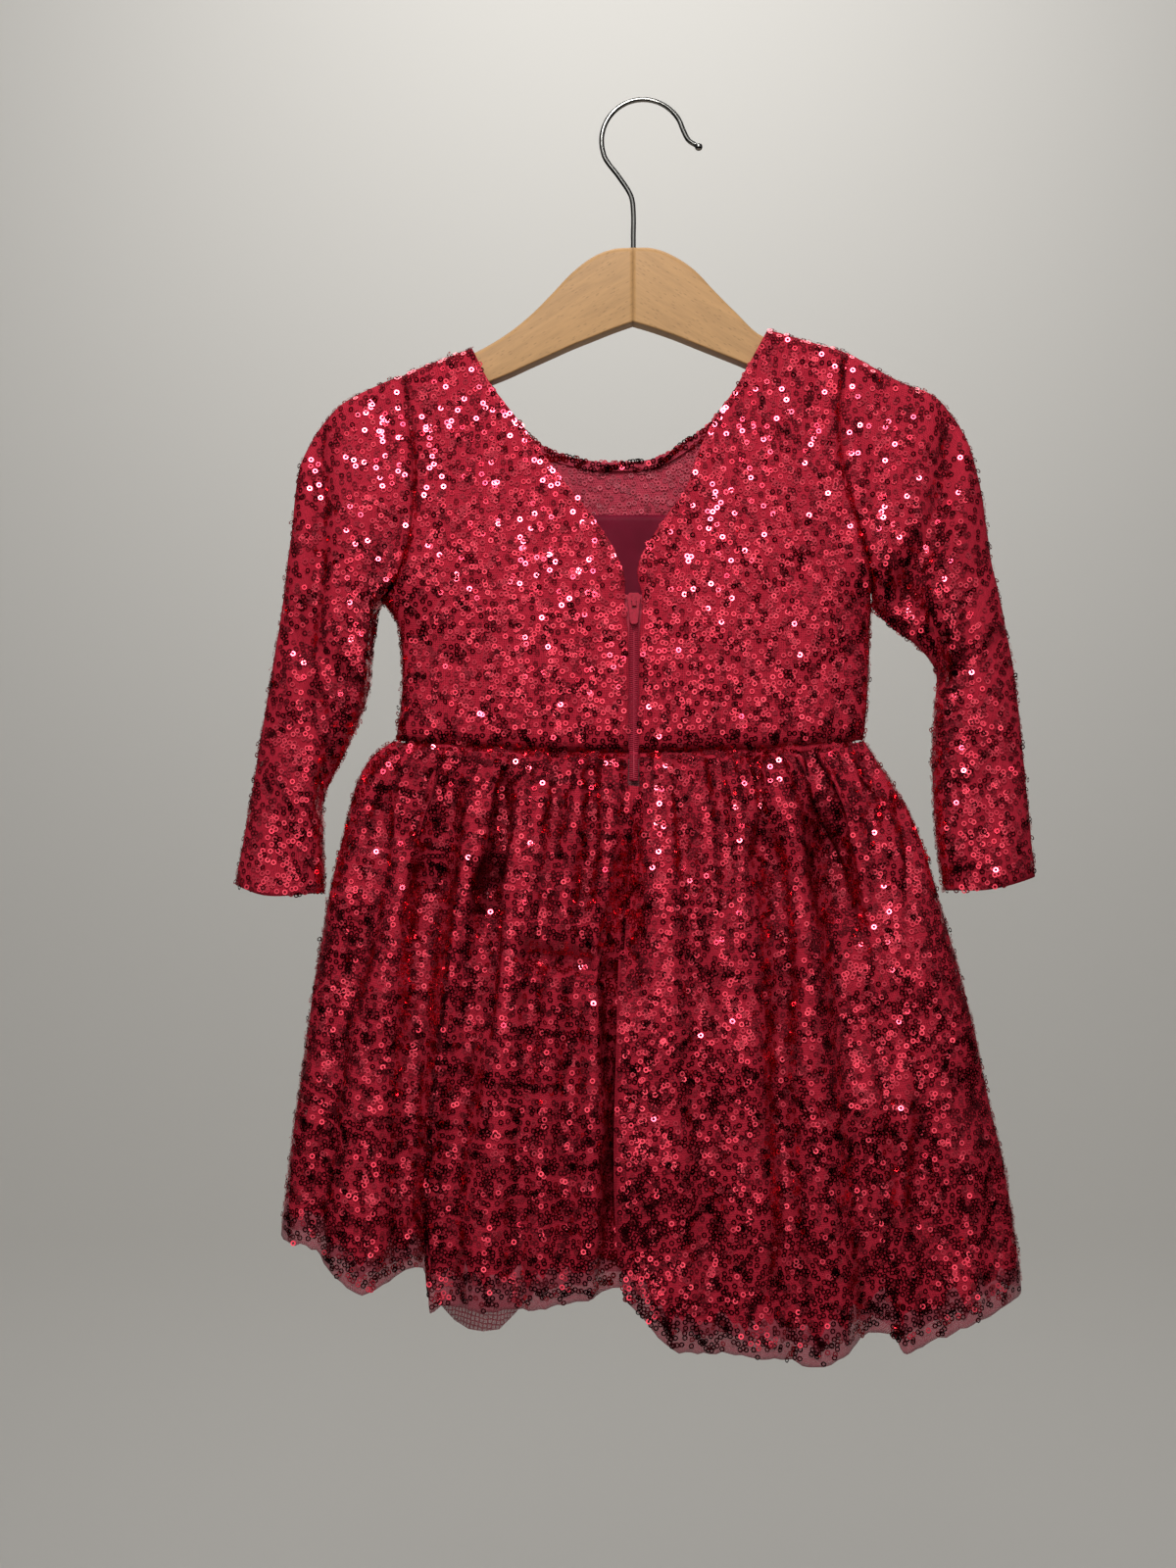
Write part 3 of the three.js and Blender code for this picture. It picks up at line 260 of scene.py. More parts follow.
# Each crease runs in the XZ plane between two ends, has a depth (below zero, a ridge), a width and
# a steep side: above zero the left one of a crease that runs down, below zero the right one.
CREASE = "x z toX toZ depth width steep"
CREASES = {
    "bodice_back_left": table(
        CREASE,
        (-112, -205, -84, -236, 1.6, 6, 0),
        (-117, -262, -92, -276, 1.2, 5, 0),
        (-108, -150, -98, -176, 1.1, 5, 0),
        (-60, -170, -34, -206, -0.8, 7, 0),
        (-78, -300, -70, -322, 1.0, 4, 0),
        (-36, -298, -31, -322, 0.9, 4, 0),
        (-100, -296, -96, -318, 1.0, 4, 0),
    ),
    "bodice_back_right": table(
        CREASE,
        (93, -212, 66, -240, 1.5, 6, 0),
        (109, -262, 84, -280, 1.2, 5, 0),
        (30, -196, 12, -226, 1.2, 6, 0),
        (84, -138, 78, -170, 1.3, 6, 0),
        (40, -300, 36, -322, 0.9, 4, 0),
        (72, -296, 70, -320, 1.1, 4, 0),
        (94, -300, 92, -318, 0.9, 4, 0),
    ),
    "bodice_front": table(
        CREASE,
        (-108, -212, -80, -244, 1.6, 6, 0),
        (100, -212, 74, -242, 1.5, 6, 0),
        (-66, -190, -40, -222, 1.0, 8, 0),
        (52, -186, 30, -222, 1.0, 8, 0),
        (-70, -296, -64, -322, 1.0, 4, 0),
        (-18, -298, -16, -322, 0.9, 4, 0),
        (34, -296, 32, -322, 1.0, 4, 0),
        (80, -296, 78, -320, 1.0, 4, 0),
    ),
    "sleeve_left": table(
        CREASE,
        (-160, -166, -163, -262, 5.8, 6, 0),
        (-159, -290, -154, -345, 3.6, 4.5, 0),
        (-147, -286, -150, -330, 3.0, 5, 0),
        (-172, -262, -144, -284, 1.8, 5, 0),
        (-124, -216, -140, -258, 2.0, 5, 0),
        (-128, -160, -122, -205, 1.2, 6, 0),
        (-186, -330, -170, -372, 1.2, 6, 0),
    ),
    "sleeve_right": table(
        CREASE,
        (149, -166, 127, -240, 6.5, 7, 0),
        (127, -240, 140, -274, 3.2, 5, 0),
        (156, -248, 148, -300, 2.2, 5, 0),
        (176, -262, 150, -282, 1.6, 5, 0),
        (108, -160, 112, -204, 1.2, 6, 0),
        (170, -318, 160, -372, 1.3, 6, 0),
    ),
    "skirt_back_left": table(
        CREASE,
        (-94, -336, -101, -385, 4.0, 9, 0.0),
        (-107, -372, -114, -610, 4.6, 20, 0.0),
        (-67, -338, -74, -385, 6.5, 4.2, -0.4),
        (-74, -385, -76, -445, 5.5, 5.5, -0.4),
        (-44, -320, -45, -352, 3.2, 2.9, 0),
        (-26, -330, -28, -384, 3.8, 3.6, 0),
        (-106, -330, -114, -356, 3.5, 3.6, 0),
        (-127, -346, -140, -430, 4.8, 5.5, 0),
        (-48, -417, -9, -427, 7.0, 5, 0),
        (-17, -410, -22, -600, 6.0, 8, -0.6),
        (-55, -440, -62, -560, 1.6, 7.2, 0),
        (-134, -440, -140, -560, 2.0, 7.2, 0),
        (-38, -450, -42, -560, 1.4, 7.2, 0),
        (-84, -480, -88, -570, 1.8, 6, 0),
        (-150, -430, -156, -540, 2.0, 7.2, 0),
    ),
    "skirt_back_right": table(
        CREASE,
        (53, -322, 54, -366, 4.5, 2.6, 0),
        (60, -366, 65, -449, 4.2, 4.3, 0),
        (79, -334, 90, -385, 8.0, 8, 0.3),
        (92, -372, 114, -610, 9.0, 20, 0.5),
        (107, -325, 111, -349, 3.8, 3.4, 0),
        (125, -350, 127, -384, 3.8, 3.8, 0),
        (119, -398, 121, -532, -5.5, 6, 0.3),
        (14, -330, 18, -372, 3.5, 3.1, 0),
        (34, -326, 36, -400, 3.2, 3.6, 0),
        (30, -430, 26, -560, 1.8, 7.2, 0),
        (62, -470, 60, -575, 1.8, 6, 0),
        (140, -440, 150, -560, 2.0, 7.2, 0),
        (160, -480, 166, -570, 2.9, 6, 0),
    ),
    "skirt_front": table(
        CREASE,
        (-104, -330, -112, -420, 4.8, 4.3, 0),
        (-70, -326, -74, -392, 4.2, 3.6, 0),
        (-46, -330, -50, -440, 4.2, 4.8, 0),
        (-16, -326, -18, -376, 3.8, 3.4, 0),
        (14, -330, 16, -430, 4.5, 4.8, 0),
        (44, -326, 48, -384, 3.8, 3.4, 0),
        (74, -330, 84, -440, 4.8, 4.8, 0),
        (104, -328, 112, -384, 3.8, 3.6, 0),
        (-132, -400, -142, -530, 3.8, 7.2, 0),
        (-84, -440, -88, -560, 3.8, 7.2, 0),
        (-30, -450, -32, -560, 3.5, 7.2, 0),
        (34, -450, 38, -565, 3.8, 7.2, 0),
        (98, -450, 106, -565, 3.8, 7.2, 0),
        (140, -420, 150, -560, 3.5, 7.2, 0),
    ),
}

# ---------------------------------------------------------------- curves


def lerp(a, b, t):
    """a + (b - a) t."""
    return a + (b - a) * t


def smooth(t):
    """The smooth step 3t^2 - 2t^3 between 0 and 1, flat beyond them."""
    t = np.clip(t, 0, 1)
    return t * t * (3 - 2 * t)


def cubic(places, values, at):
    """A Hermite cubic through values at rising places, with central differences for its slopes,
    flat beyond its ends."""
    places = np.asarray(places, float)
    values = np.asarray(values, float)
    at = np.clip(np.asarray(at, float), places[0], places[-1])
    order = np.arange(len(places))
    low = np.maximum(order - 1, 0)
    high = np.minimum(order + 1, len(places) - 1)
    slope = (values[high] - values[low]) / (places[high] - places[low])
    i = np.clip(np.searchsorted(places, at, side="right") - 1, 0, len(places) - 2)
    span = places[i + 1] - places[i]
    t = (at - places[i]) / span
    bend = (t**3 - 2 * t**2 + t) * slope[i] + (t**3 - t**2) * slope[i + 1]
    start, end = 2 * t**3 - 3 * t**2 + 1, 3 * t**2 - 2 * t**3
    return start * values[i] + end * values[i + 1] + span * bend


def column(rows, name, at):
    """A table's named column at a place of its first column."""
    first = next(iter(rows.values()))
    return cubic(first, rows[name], at)


def line(through, shift=0.0):
    """A smooth line through points of the XZ plane, by the share t of its length along chords."""
    steps = np.hypot(*np.diff(through, axis=0).T)
    reach = np.concatenate([[0], np.cumsum(steps)])
    reach /= reach[-1]

    def at(t):
        x, z = cubic(reach, through[:, 0], t) + shift, cubic(reach, through[:, 1], t)
        return np.stack([x, z], -1)

    return at


def straight(a, b):
    """The straight line from a to b."""
    a, b = np.asarray(a, float), np.asarray(b, float)
    return lambda t: a + (b - a) * np.asarray(t, float)[..., None]


def backwards(edge):
    """The same line from its other end."""
    return lambda t: edge(1 - np.asarray(t, float))


def joined(first, second, share):
    """Two lines, the first up to the given share."""

    def at(t):
        t = np.asarray(t, float)
        before = first(np.minimum(t / share, 1))
        after = second(np.maximum((t - share) / (1 - share), 0))
        return np.where((t < share)[..., None], before, after)

    return at


def patch(low, high, left, right):
    """Coons patch between four lines: low and high run with f, left and right with v. It is the
    blend of left and right, plus that of low and high, less that of the corners."""

    def at(f, v):
        across = lerp(left(v), right(v), f[..., None])
        up = lerp(low(f), high(f), v[..., None])
        zero, one = np.zeros(1), np.ones(1)
        below = lerp(low(zero), low(one), f[..., None])
        above = lerp(high(zero), high(one), f[..., None])
        return across + up - lerp(below, above, v[..., None])

    return at


def oval_height(q):
    """Height (1 - |q|^2.5)^(1/2.5) of the flattened oval at q between -1 and 1."""
    return (1 - np.minimum(1, np.abs(q)) ** OVAL) ** (1 / OVAL)


def rounding(t):
    """The same oval's quarter, rising from 0 at t 0 to 1 at t 1."""
    return (1 - (1 - np.clip(t, 0, 1)) ** OVAL) ** (1 / OVAL)


def spread(count, ends=0.0):
    """Shares from 0 to 1, drawn together towards both ends by the given amount, up to 1."""
    t = np.linspace(0, 1, count)
    return lerp(t, (1 - np.cos(np.pi * t)) / 2, ends)


# ---------------------------------------------------------------- forms of the cut pieces


def height_between(a, b, x):
    """Height at x of the straight line from a to b."""
    return lerp(a[1], b[1], (x - a[0]) / (b[0] - a[0]))


def shoulder_z(x):
    """Height of the shoulder line, straight on each side of the neck."""
    left = height_between(ARMHOLE["left"][0], BACK_NECK["left"][-1], x)
    right = height_between(BACK_NECK["right"][-1], ARMHOLE["right"][0], x)
    return np.where(x < CENTRE_X, left, right)


def waist_z(x):
    """Height of the waist seam, a shallow parabola that is lowest at the centre."""
    return WAIST_SIDE_Z - WAIST_SAG * (1 - ((x - CENTRE_X) / 116) ** 2)


def bodice_form(face, place, inset=0.0):
    """The bodice over a place of the XZ plane: half an oval across, whose depth follows its
    height, and which rounds over to nothing at the shoulder line."""
    x, z = place[..., 0], place[..., 1]
    edge = np.where(x < CENTRE_X, column(BODICE_SIDES, "left", z), column(BODICE_SIDES, "right", z))
    reach = np.abs(edge - CENTRE_X)
    q = (x - CENTRE_X) / reach
    crest = rounding(np.maximum(0, shoulder_z(x) - z) / CREST)
    depth = (column(BODICE_DEPTH, face, z) - inset) * oval_height(q) * crest
    y = np.maximum(EDGE, depth)
    x, z = CENTRE_X + q * (reach - inset), z - inset * (1 - crest)
    return np.stack([x, -y if face == "back" else y, z], -1)


def outer_edge(side):
    """A bodice panel's outer edge: up its side seam and then up its armhole."""
    shift = EDGE if side == "left" else -EDGE
    return joined(line(SIDE_SEAM[side]), backwards(line(ARMHOLE[side], shift)), UNDERARM)


def waist_edge(start, end):
    """The bodice's lower edge between two x."""
    return lambda t: np.stack([lerp(start, end, t), waist_z(lerp(start, end, t)) + EDGE], -1)


def zip_edge(side):
    """A back panel's edge along the zip, which opens a little round the slider."""
    sign = -1 if side == "left" else 1
    x = CENTRE_X + sign * ZIP_GAP / 2
    top = BACK_NECK[side][0]
    low, middle = (x, waist_z(x) + EDGE), (x, SLIDER_LOW_Z - 12)
    return line(points(low, middle, (top[0], SLIDER_LOW_Z), tuple(top)))


def back_panel(side, f, v):
    """A back bodice panel: a patch from its outer edge at f 0 to its zip and neck edge at f 1."""
    sign = -1 if side == "left" else 1
    outer, neck = outer_edge(side), line(BACK_NECK[side])
    place = patch(
        waist_edge(SIDE_SEAM[side][0][0], CENTRE_X + sign * ZIP_GAP / 2),
        straight(outer(np.ones(1))[0], neck(np.ones(1))[0]),
        outer,
        joined(zip_edge(side), neck, UNDERARM),
    )(f, v)
    return bodice_form("back", place)


def front_place(f, v):
    """The bodice front laid flat: f from armhole to armhole, v from the waist to the neck."""
    left, right = outer_edge("left"), outer_edge("right")
    neck = line(FRONT_NECK)
    start, end = 0.18, 0.82
    tips = left(np.ones(1))[0], right(np.ones(1))[0]

    def top(t):
        t = np.asarray(t, float)
        before = straight(tips[0], FRONT_NECK[0])(np.clip(t / start, 0, 1))
        after = straight(FRONT_NECK[-1], tips[1])(np.clip((t - end) / (1 - end), 0, 1))
        middle = neck(np.clip((t - start) / (end - start), 0, 1))
        rest = np.where((t > end)[..., None], after, middle)
        return np.where((t < start)[..., None], before, rest)

    waist = waist_edge(SIDE_SEAM["left"][0][0], SIDE_SEAM["right"][0][0])
    return patch(waist, top, left, right)(f, v)


def sleeve_tube(side, turn, v):
    """A sleeve all round: turn 0 to 0.5 is its back from the outer to the inner silhouette, and
    0.5 to 1 its front on the way back. Its depth is an oval that takes over from the armhole's."""
    shift = -EDGE if side == "left" else EDGE
    hole = line(ARMHOLE[side], shift)
    outer, inner = line(SLEEVE_OUTER[side], shift), line(SLEEVE_INNER[side], shift)
    f = (1 - np.cos(2 * np.pi * turn)) / 2
    place = patch(hole, line(CUFF[side], shift), outer, inner)(f, v)
    is_back = turn <= 0.5
    depth = {}
    for face in ("back", "front"):
        at_hole = np.abs(bodice_form(face, hole(f))[..., 1])
        full = column(SLEEVE_DEPTH, face, v) * oval_height(1 - 2 * f)
        depth[face] = lerp(at_hole, full, smooth(v / 0.3))
    ends = np.minimum(f, 1 - f) < 1e-6
    y = np.where(is_back, -depth["back"], depth["front"])
    return np.stack([place[..., 0], np.where(ends, 0, y), place[..., 1]], -1)


def face_shares():
    """Shares of an oval's width at even steps round its face, for a mean oval of the skirt."""
    turn = np.linspace(0, np.pi, 401)
    share = (1 - np.cos(turn)) / 2
    steps = np.hypot(300 * np.diff(share), 30 * np.diff(oval_height(1 - 2 * share)))
    reach = np.concatenate([[0], np.cumsum(steps)])
    return reach / reach[-1], share


FACE_REACH, FACE_SHARE = face_shares()


def share_at(s):
    """Share of the skirt's width at the share s of the way round its face."""
    return np.interp(s, FACE_REACH, FACE_SHARE)


def fold_depth(rows, f, v, roll):
    """Sum of soft folds: depth x growth down the skirt x a bell across it. roll thins the fold
    at the centre seam, where one half of the back hangs over the other."""
    total = np.zeros(np.broadcast(f, v).shape)
    for top, hem, start, full, depth, width in zip(*rows.values()):
        grown = smooth((v - start) / (full - start))
        thin = roll if top == 0.5 else 1.0
        total = total + thin * depth * grown * np.exp(-(((f - lerp(top, hem, v)) / width) ** 2))
    return total


def gather_height(s, v):
    """Broad gathers below the waist, with finer ones between them that die out sooner."""
    uneven = 0.9 * np.sin(2 * np.pi * 3 * s) + 0.6 * np.sin(2 * np.pi * 7 * s + 1)
    swell = lerp(0.8, 1.9, smooth(v / 0.06)) * np.exp(-v / 0.15)
    broad = swell * np.sin(2 * np.pi * GATHERS * s + uneven)
    fine_turn = 2 * np.pi * 39 * s + 1.6 * np.sin(2 * np.pi * 5 * s + 2)
    fine_turn = fine_turn + 0.8 * np.sin(2 * np.pi * 11 * s)
    long = 0.09 + 0.04 * np.sin(2 * np.pi * 13 * s + 0.6)
    fine = lerp(0.4, 1.5, smooth(v / 0.02)) * np.exp(-v / long) * np.sin(fine_turn)
    return broad + fine


def skirt_form(face, s, v, inset=0.0, gathered=True, longer=0.0, roll=1.0, scallop=0.0):
    """The skirt: an oval whose sizes follow its height, moved out along its own normal by the
    gathers and in by the folds, with its middle swung to follow the centre-back seam."""
    f = share_at(s)
    waist_x = lerp(SKIRT_SIZES["left"][-1], SKIRT_SIZES["right"][-1], f)
    start = waist_z(waist_x) - EDGE
    z = lerp(start, column(HEM[face], "z", f) - longer + scallop, v)
    left, right = column(SKIRT_SIZES, "left", z), column(SKIRT_SIZES, "right", z)
    deep = column(SKIRT_SIZES, face, z)
    cosine = 1 - 2 * f
    sine = oval_height(cosine)
    nx = -np.sign(cosine) * np.abs(cosine) ** (OVAL - 1) / ((right - left) / 2)
    ny = sine ** (OVAL - 1) / deep
    length = np.hypot(nx, ny)
    out = (gather_height(s, v) * np.sqrt(sine) if gathered else 0) - inset
    out = out - fold_depth(FOLDS[face], f, v, roll) * sine
    sway = (column(CENTRE_SEAM, "x", z) - (left + right) / 2) * (1 - cosine**2)
    x = lerp(left, right, f) + sway + nx / length * out
    y = np.maximum(EDGE, deep * sine + ny / length * out)
    return np.stack([x, -y if face == "back" else y, z], -1)


def centre_gap(v):
    """Half the gap at the centre back as a share of a face: the zip's, then a plain seam's."""
    return lerp(ZIP_GAP / 2 / 250, EDGE / 300, smooth((v - ZIP_END_SHARE) / 0.048))


def scallops(s, seed):
    """Uneven small scallops of a raw edge, about 1 mm: a sum of seeded waves along it."""
    rng = np.random.default_rng(seed)
    waves = rng.integers(12, 60, 7)
    turns = rng.uniform(0, 2 * np.pi, 7)
    return sum(0.24 * np.sin(2 * np.pi * w * s + t) for w, t in zip(waves, turns))


def skirt_back_half(side, t, v):
    """One back half of the skirt. t runs from its side seam to the centre back. The right half
    rolls over the left one, so it is held out of the centre fold and swung over it."""
    edge = 0.5 - centre_gap(v)
    s = t * edge if side == "left" else 1 - t * edge
    low = smooth((v - 0.2) / 0.35)
    roll = 1.0 if side == "left" else lerp(1.0, 0.3, low)
    form = skirt_form("back", s, v, roll=roll, scallop=scallops(s, 11))
    if side == "right":
        over = low * np.exp(-(((s - 0.5) / 0.022) ** 2))
        form[..., 0] -= 3.2 * over
        form[..., 1] -= 1.6 * over
    return form


def centre_back(z):
    """Where the centre-back line lies at a height: x and y on the cloth's outer face."""
    z = np.asarray(z, float)
    high = bodice_form("back", np.stack([np.full(z.shape, CENTRE_X), z], -1))
    start = waist_z(CENTRE_X)
    v = np.clip((start - z) / (start - column(HEM["back"], "z", 0.5)), 0, 1)
    low = skirt_form("back", np.full(z.shape, 0.5), v)
    return np.where((z > start)[..., None], high[..., :2], low[..., :2])


# ---------------------------------------------------------------- grids and meshes


def normals(grid, ring=False):
    """Unit normals of a grid of points, and whether its faces have to be turned to look outwards.
    A normal is the cross product of the grid's differences along its two ways. Outwards is away
    from the rows' middles on a ring, and away from the plane y = 0 on an open piece."""
    if ring:
        along = np.roll(grid, -1, 1) - np.roll(grid, 1, 1)
    else:
        along = np.gradient(grid, axis=1)
    normal = np.cross(along, np.gradient(grid, axis=0))
    size = np.linalg.norm(normal, axis=2, keepdims=True)
    if ring:
        away = grid - grid.mean(axis=1, keepdims=True)
    else:
        away = np.zeros_like(grid)
        away[..., 1] = np.sign(grid[..., 1].mean())
    turned = (normal * away).sum() < 0
    normal = np.where(size > 1e-9, normal / np.maximum(size, 1e-9), 0)
    return (-normal if turned else normal), turned


def creased(grid, rows, ring=False):
    """The grid with its creases pressed in: each is depth x a bell across its line x smooth ends.
    On a ring they lie on one face, and shallower and shifted ones on the other."""
    normal, _ = normals(grid, ring)
    x, z = grid[..., 0], grid[..., 2]
    total = np.zeros(x.shape)
    for from_x, from_z, to_x, to_z, depth, width, steep in zip(*rows.values()):
        dx, dz = to_x - from_x, to_z - from_z
        length = math.hypot(dx, dz)
        along = ((x - from_x) * dx + (z - from_z) * dz) / length**2
        beyond = np.maximum(0, np.maximum(-along, along - 1)) * length
        across = ((x - from_x) * dz - (z - from_z) * dx) / length
        bow = across + 0.05 * length * np.sin(np.pi * np.clip(along, 0, 1))
        wide = width * np.where(bow * steep > 0, 1 - abs(steep), 1)
        lies = np.exp(-((bow / wide) ** 2) - (beyond / (2.2 * width)) ** 2)
        if ring:
            back = smooth(0.5 - grid[..., 1] / 6)
            other = np.exp(-(((bow - 6) / (1.4 * width)) ** 2) - (beyond / (2.2 * width)) ** 2)
            total += depth * (lies * back + 0.6 * other * (1 - back))
        else:
            total += depth * lies
    return grid - normal * (total * np.clip(np.abs(grid[..., 1]) / 8, 0, 1))[..., None]


def rippled(grid, height, seed, ring=False):
    """The grid with soft unevenness: six seeded waves, 20 to 70 mm long, along its normals."""
    rng = np.random.default_rng(seed)
    normal, _ = normals(grid, ring)
    total = np.zeros(grid.shape[:2])
    for _ in range(6):
        wave = 2 * np.pi / rng.uniform(20, 70)
        turn = rng.uniform(0, 2 * np.pi)
        ahead = wave * (math.cos(turn) * grid[..., 0] + math.sin(turn) * grid[..., 2])
        total += np.sin(ahead + rng.uniform(0, 2 * np.pi))
    held = np.clip(np.abs(grid[..., 1]) / 8, 0, 1)
    return grid + normal * (total * height / 2.5 * held)[..., None]


def grooved(grid, away, depth, width=2.4, ring=False):
    """The grid sunk by depth x a bell of the distance `away` from a seam, in millimetres."""
    normal, _ = normals(grid, ring)
    held = np.clip(np.abs(grid[..., 1]) / 11, 0, 1)
    return grid - normal * (depth * np.exp(-((away / width) ** 2)) * held)[..., None]


def quads(index):
    """Four-cornered faces of a grid of vertex numbers."""
    corners = [index[:-1, :-1], index[:-1, 1:], index[1:, 1:], index[1:, :-1]]
    return np.stack(corners, -1).reshape(-1, 4)


def band(near, far):
    """Faces of a strip between two rows of vertex numbers."""
    return np.stack([near[1:], near[:-1], far[:-1], far[1:]], -1)


def make_mesh(name, places, faces, uv=None, tone=None, smooth_shaded=True):
    """A mesh object in metres from places in millimetres and arrays of faces."""
    mesh = bpy.data.meshes.new(name)
    places = np.asarray(places, float).reshape(-1, 3) * MM
    corners = np.concatenate([f.ravel() for f in faces]).astype(np.int32)
    sizes = np.concatenate([np.full(len(f), f.shape[1], np.int32) for f in faces])
    starts = np.concatenate([[0], np.cumsum(sizes)[:-1]]).astype(np.int32)
    mesh.vertices.add(len(places))
    mesh.vertices.foreach_set("co", places.ravel())
    mesh.loops.add(len(corners))
    mesh.loops.foreach_set("vertex_index", corners)
    mesh.polygons.add(len(sizes))
    mesh.polygons.foreach_set("loop_start", starts)
    mesh.polygons.foreach_set("use_smooth", np.full(len(sizes), smooth_shaded))
    if uv is not None:
        layer = mesh.uv_layers.new(name="cloth")
        layer.data.foreach_set("uv", (np.asarray(uv, float).reshape(-1, 2) * MM)[corners].ravel())
    if tone is not None:
        layer = mesh.attributes.new("tone", "FLOAT", "POINT")
        layer.data.foreach_set("value", np.asarray(tone, float).ravel())
    mesh.update(calc_edges=True)
    mesh.validate()
    obj = bpy.data.objects.new(name, mesh)
    bpy.context.collection.objects.link(obj)
    return obj


def lengths(grid, ring=False):
    """UV of a grid in millimetres: the way along each row and each column."""
    if ring:
        grid = np.concatenate([grid, grid[:, :1]], axis=1)
    across = np.linalg.norm(np.diff(grid, axis=1), axis=2)
    down = np.linalg.norm(np.diff(grid, axis=0), axis=2)
    u = np.concatenate([np.zeros((len(grid), 1)), np.cumsum(across, axis=1)], axis=1)
    v = np.concatenate([np.zeros((1, grid.shape[1])), np.cumsum(down, axis=0)], axis=0)
    uv = np.stack([u, v], -1)
    return uv[:, :-1] if ring else uv


def shell(name, outer, thick, ring=False):
    """A closed cloth wall: the outer grid, the same grid moved in along its normals, and faces
    round its open edges."""
    normal, turned = normals(outer, ring)
    rows, count = outer.shape[:2]
    index = np.arange(rows * count).reshape(rows, count)
    if ring:
        index = np.concatenate([index, index[:, :1]], axis=1)
    far = index + rows * count
    faces = [quads(index), quads(far)[:, ::-1]]
    faces += [band(index[0], far[0]), band(index[-1], far[-1])[:, ::-1]]
    if not ring:
        faces += [band(index[:, 0], far[:, 0])[:, ::-1], band(index[:, -1], far[:, -1])]
    if turned:
        faces = [f[:, ::-1] for f in faces]
    uv = lengths(outer, ring)
    return make_mesh(name, np.stack([outer, outer - thick * normal]), faces, np.stack([uv, uv]))


def rod(name, rings):
    """A closed solid through rings of points, (count, sides, 3), with a fan over each end."""
    count, sides = rings.shape[:2]
    index = np.arange(count * sides).reshape(count, sides)
    index = np.concatenate([index, index[:, :1]], axis=1)
    first, last = count * sides, count * sides + 1
    places = np.concatenate([rings.reshape(-1, 3), rings[0].mean(0)[None], rings[-1].mean(0)[None]])
    start = np.stack([index[0, 1:], index[0, :-1], np.full(sides, first)], -1)
    end = np.stack([index[-1, :-1], index[-1, 1:], np.full(sides, last)], -1)
    return facing_out(make_mesh(name, places, [quads(index), start, end]))


def facing_out(obj):
    """A closed mesh turned, if it has to be, so that its volume is positive."""
    mesh = obj.data
    co = np.empty(len(mesh.vertices) * 3)
    mesh.vertices.foreach_get("co", co)
    co = co.reshape(-1, 3)
    mesh.calc_loop_triangles()
    tri = np.empty(len(mesh.loop_triangles) * 3, np.int32)
    mesh.loop_triangles.foreach_get("vertices", tri)
    a, b, c = co[tri.reshape(-1, 3)].transpose(1, 0, 2)
    if (np.cross(a, b) * c).sum() < 0:
        mesh.flip_normals()
    return obj


def sampled(grid, i, j):
    """A grid's values at fractional columns i and rows j, blended between their four corners."""
    low_i = np.clip(np.floor(i).astype(int), 0, grid.shape[1] - 2)
    low_j = np.clip(np.floor(j).astype(int), 0, grid.shape[0] - 2)
    a, b = (i - low_i)[..., None], (j - low_j)[..., None]
    near = lerp(grid[low_j, low_i], grid[low_j, low_i + 1], a)
    far = lerp(grid[low_j + 1, low_i], grid[low_j + 1, low_i + 1], a)
    return lerp(near, far, b)


def cell_areas(grid):
    """Area of each cell of a grid: half the cross product of its diagonals."""
    diagonals = grid[1:, 1:] - grid[:-1, :-1], grid[1:, :-1] - grid[:-1, 1:]
    return np.linalg.norm(np.cross(*diagonals), axis=2) / 2


def sewn_places(grid, ring, each, seed):
    """Columns and rows of sequins, one in every `each` mm2. They start on a jittered lattice, bands
    down the cloth with even steps along each, and are then drawn into loose wandering lines by a
    sum of seeded waves 7 to 16 mm long, which leaves small gaps between the lines."""
    rng = np.random.default_rng(seed)
    pitch = math.sqrt(each)
    across = np.linalg.norm(np.diff(grid, axis=1), axis=2)
    band_height = cell_areas(grid).sum(1) / across[:-1].sum(1)
    down = np.concatenate([[0], np.cumsum(band_height)])
    bands = max(1, round(down[-1] / pitch))
    found = []
    for number in range(bands):
        row = np.interp((number + 0.5) / bands * down[-1], down, np.arange(len(down)))
        reach = np.concatenate([[0], np.cumsum(across[int(row)])])
        count = max(1, round(reach[-1] / pitch))
        along = np.arange(count) + 0.5 * (number % 2) + rng.uniform(-0.3, 0.3, count)
        along = along / count * reach[-1]
        deep = (number + 0.5 + rng.uniform(-0.3, 0.3, count)) / bands * down[-1]
        found.append([along, deep, np.full(count, reach[-1]), np.full(count, row)])
    along, deep, total, row = np.concatenate(found, axis=1)
    moved = np.zeros((2, len(along)))
    for _ in range(6):
        turn, wave = rng.uniform(0, 2 * np.pi), 2 * np.pi / rng.uniform(7, 16)
        ahead = wave * (math.cos(turn) * along + math.sin(turn) * deep) + rng.uniform(0, 2 * np.pi)
        moved += np.array([[math.cos(turn)], [math.sin(turn)]]) * np.cos(ahead) / wave * 0.34
    along, deep = along + moved[0], np.clip(deep + moved[1], 0, down[-1])
    along = along % total if ring else np.clip(along, 0, total)
    # A step along a band becomes columns by the share of the nearest row's length.
    reach = np.concatenate([np.zeros((len(across), 1)), np.cumsum(across, axis=1)], axis=1)
    near = reach[row.astype(int)]
    i = (near < along[:, None]).sum(1) - 1
    i = np.clip(i, 0, near.shape[1] - 2)
    pick = np.arange(len(i))
    part = (along - near[pick, i]) / np.maximum(near[pick, i + 1] - near[pick, i], 1e-6)
    return np.stack([i + np.clip(part, 0, 1), np.interp(deep, down, np.arange(len(down)))], -1)


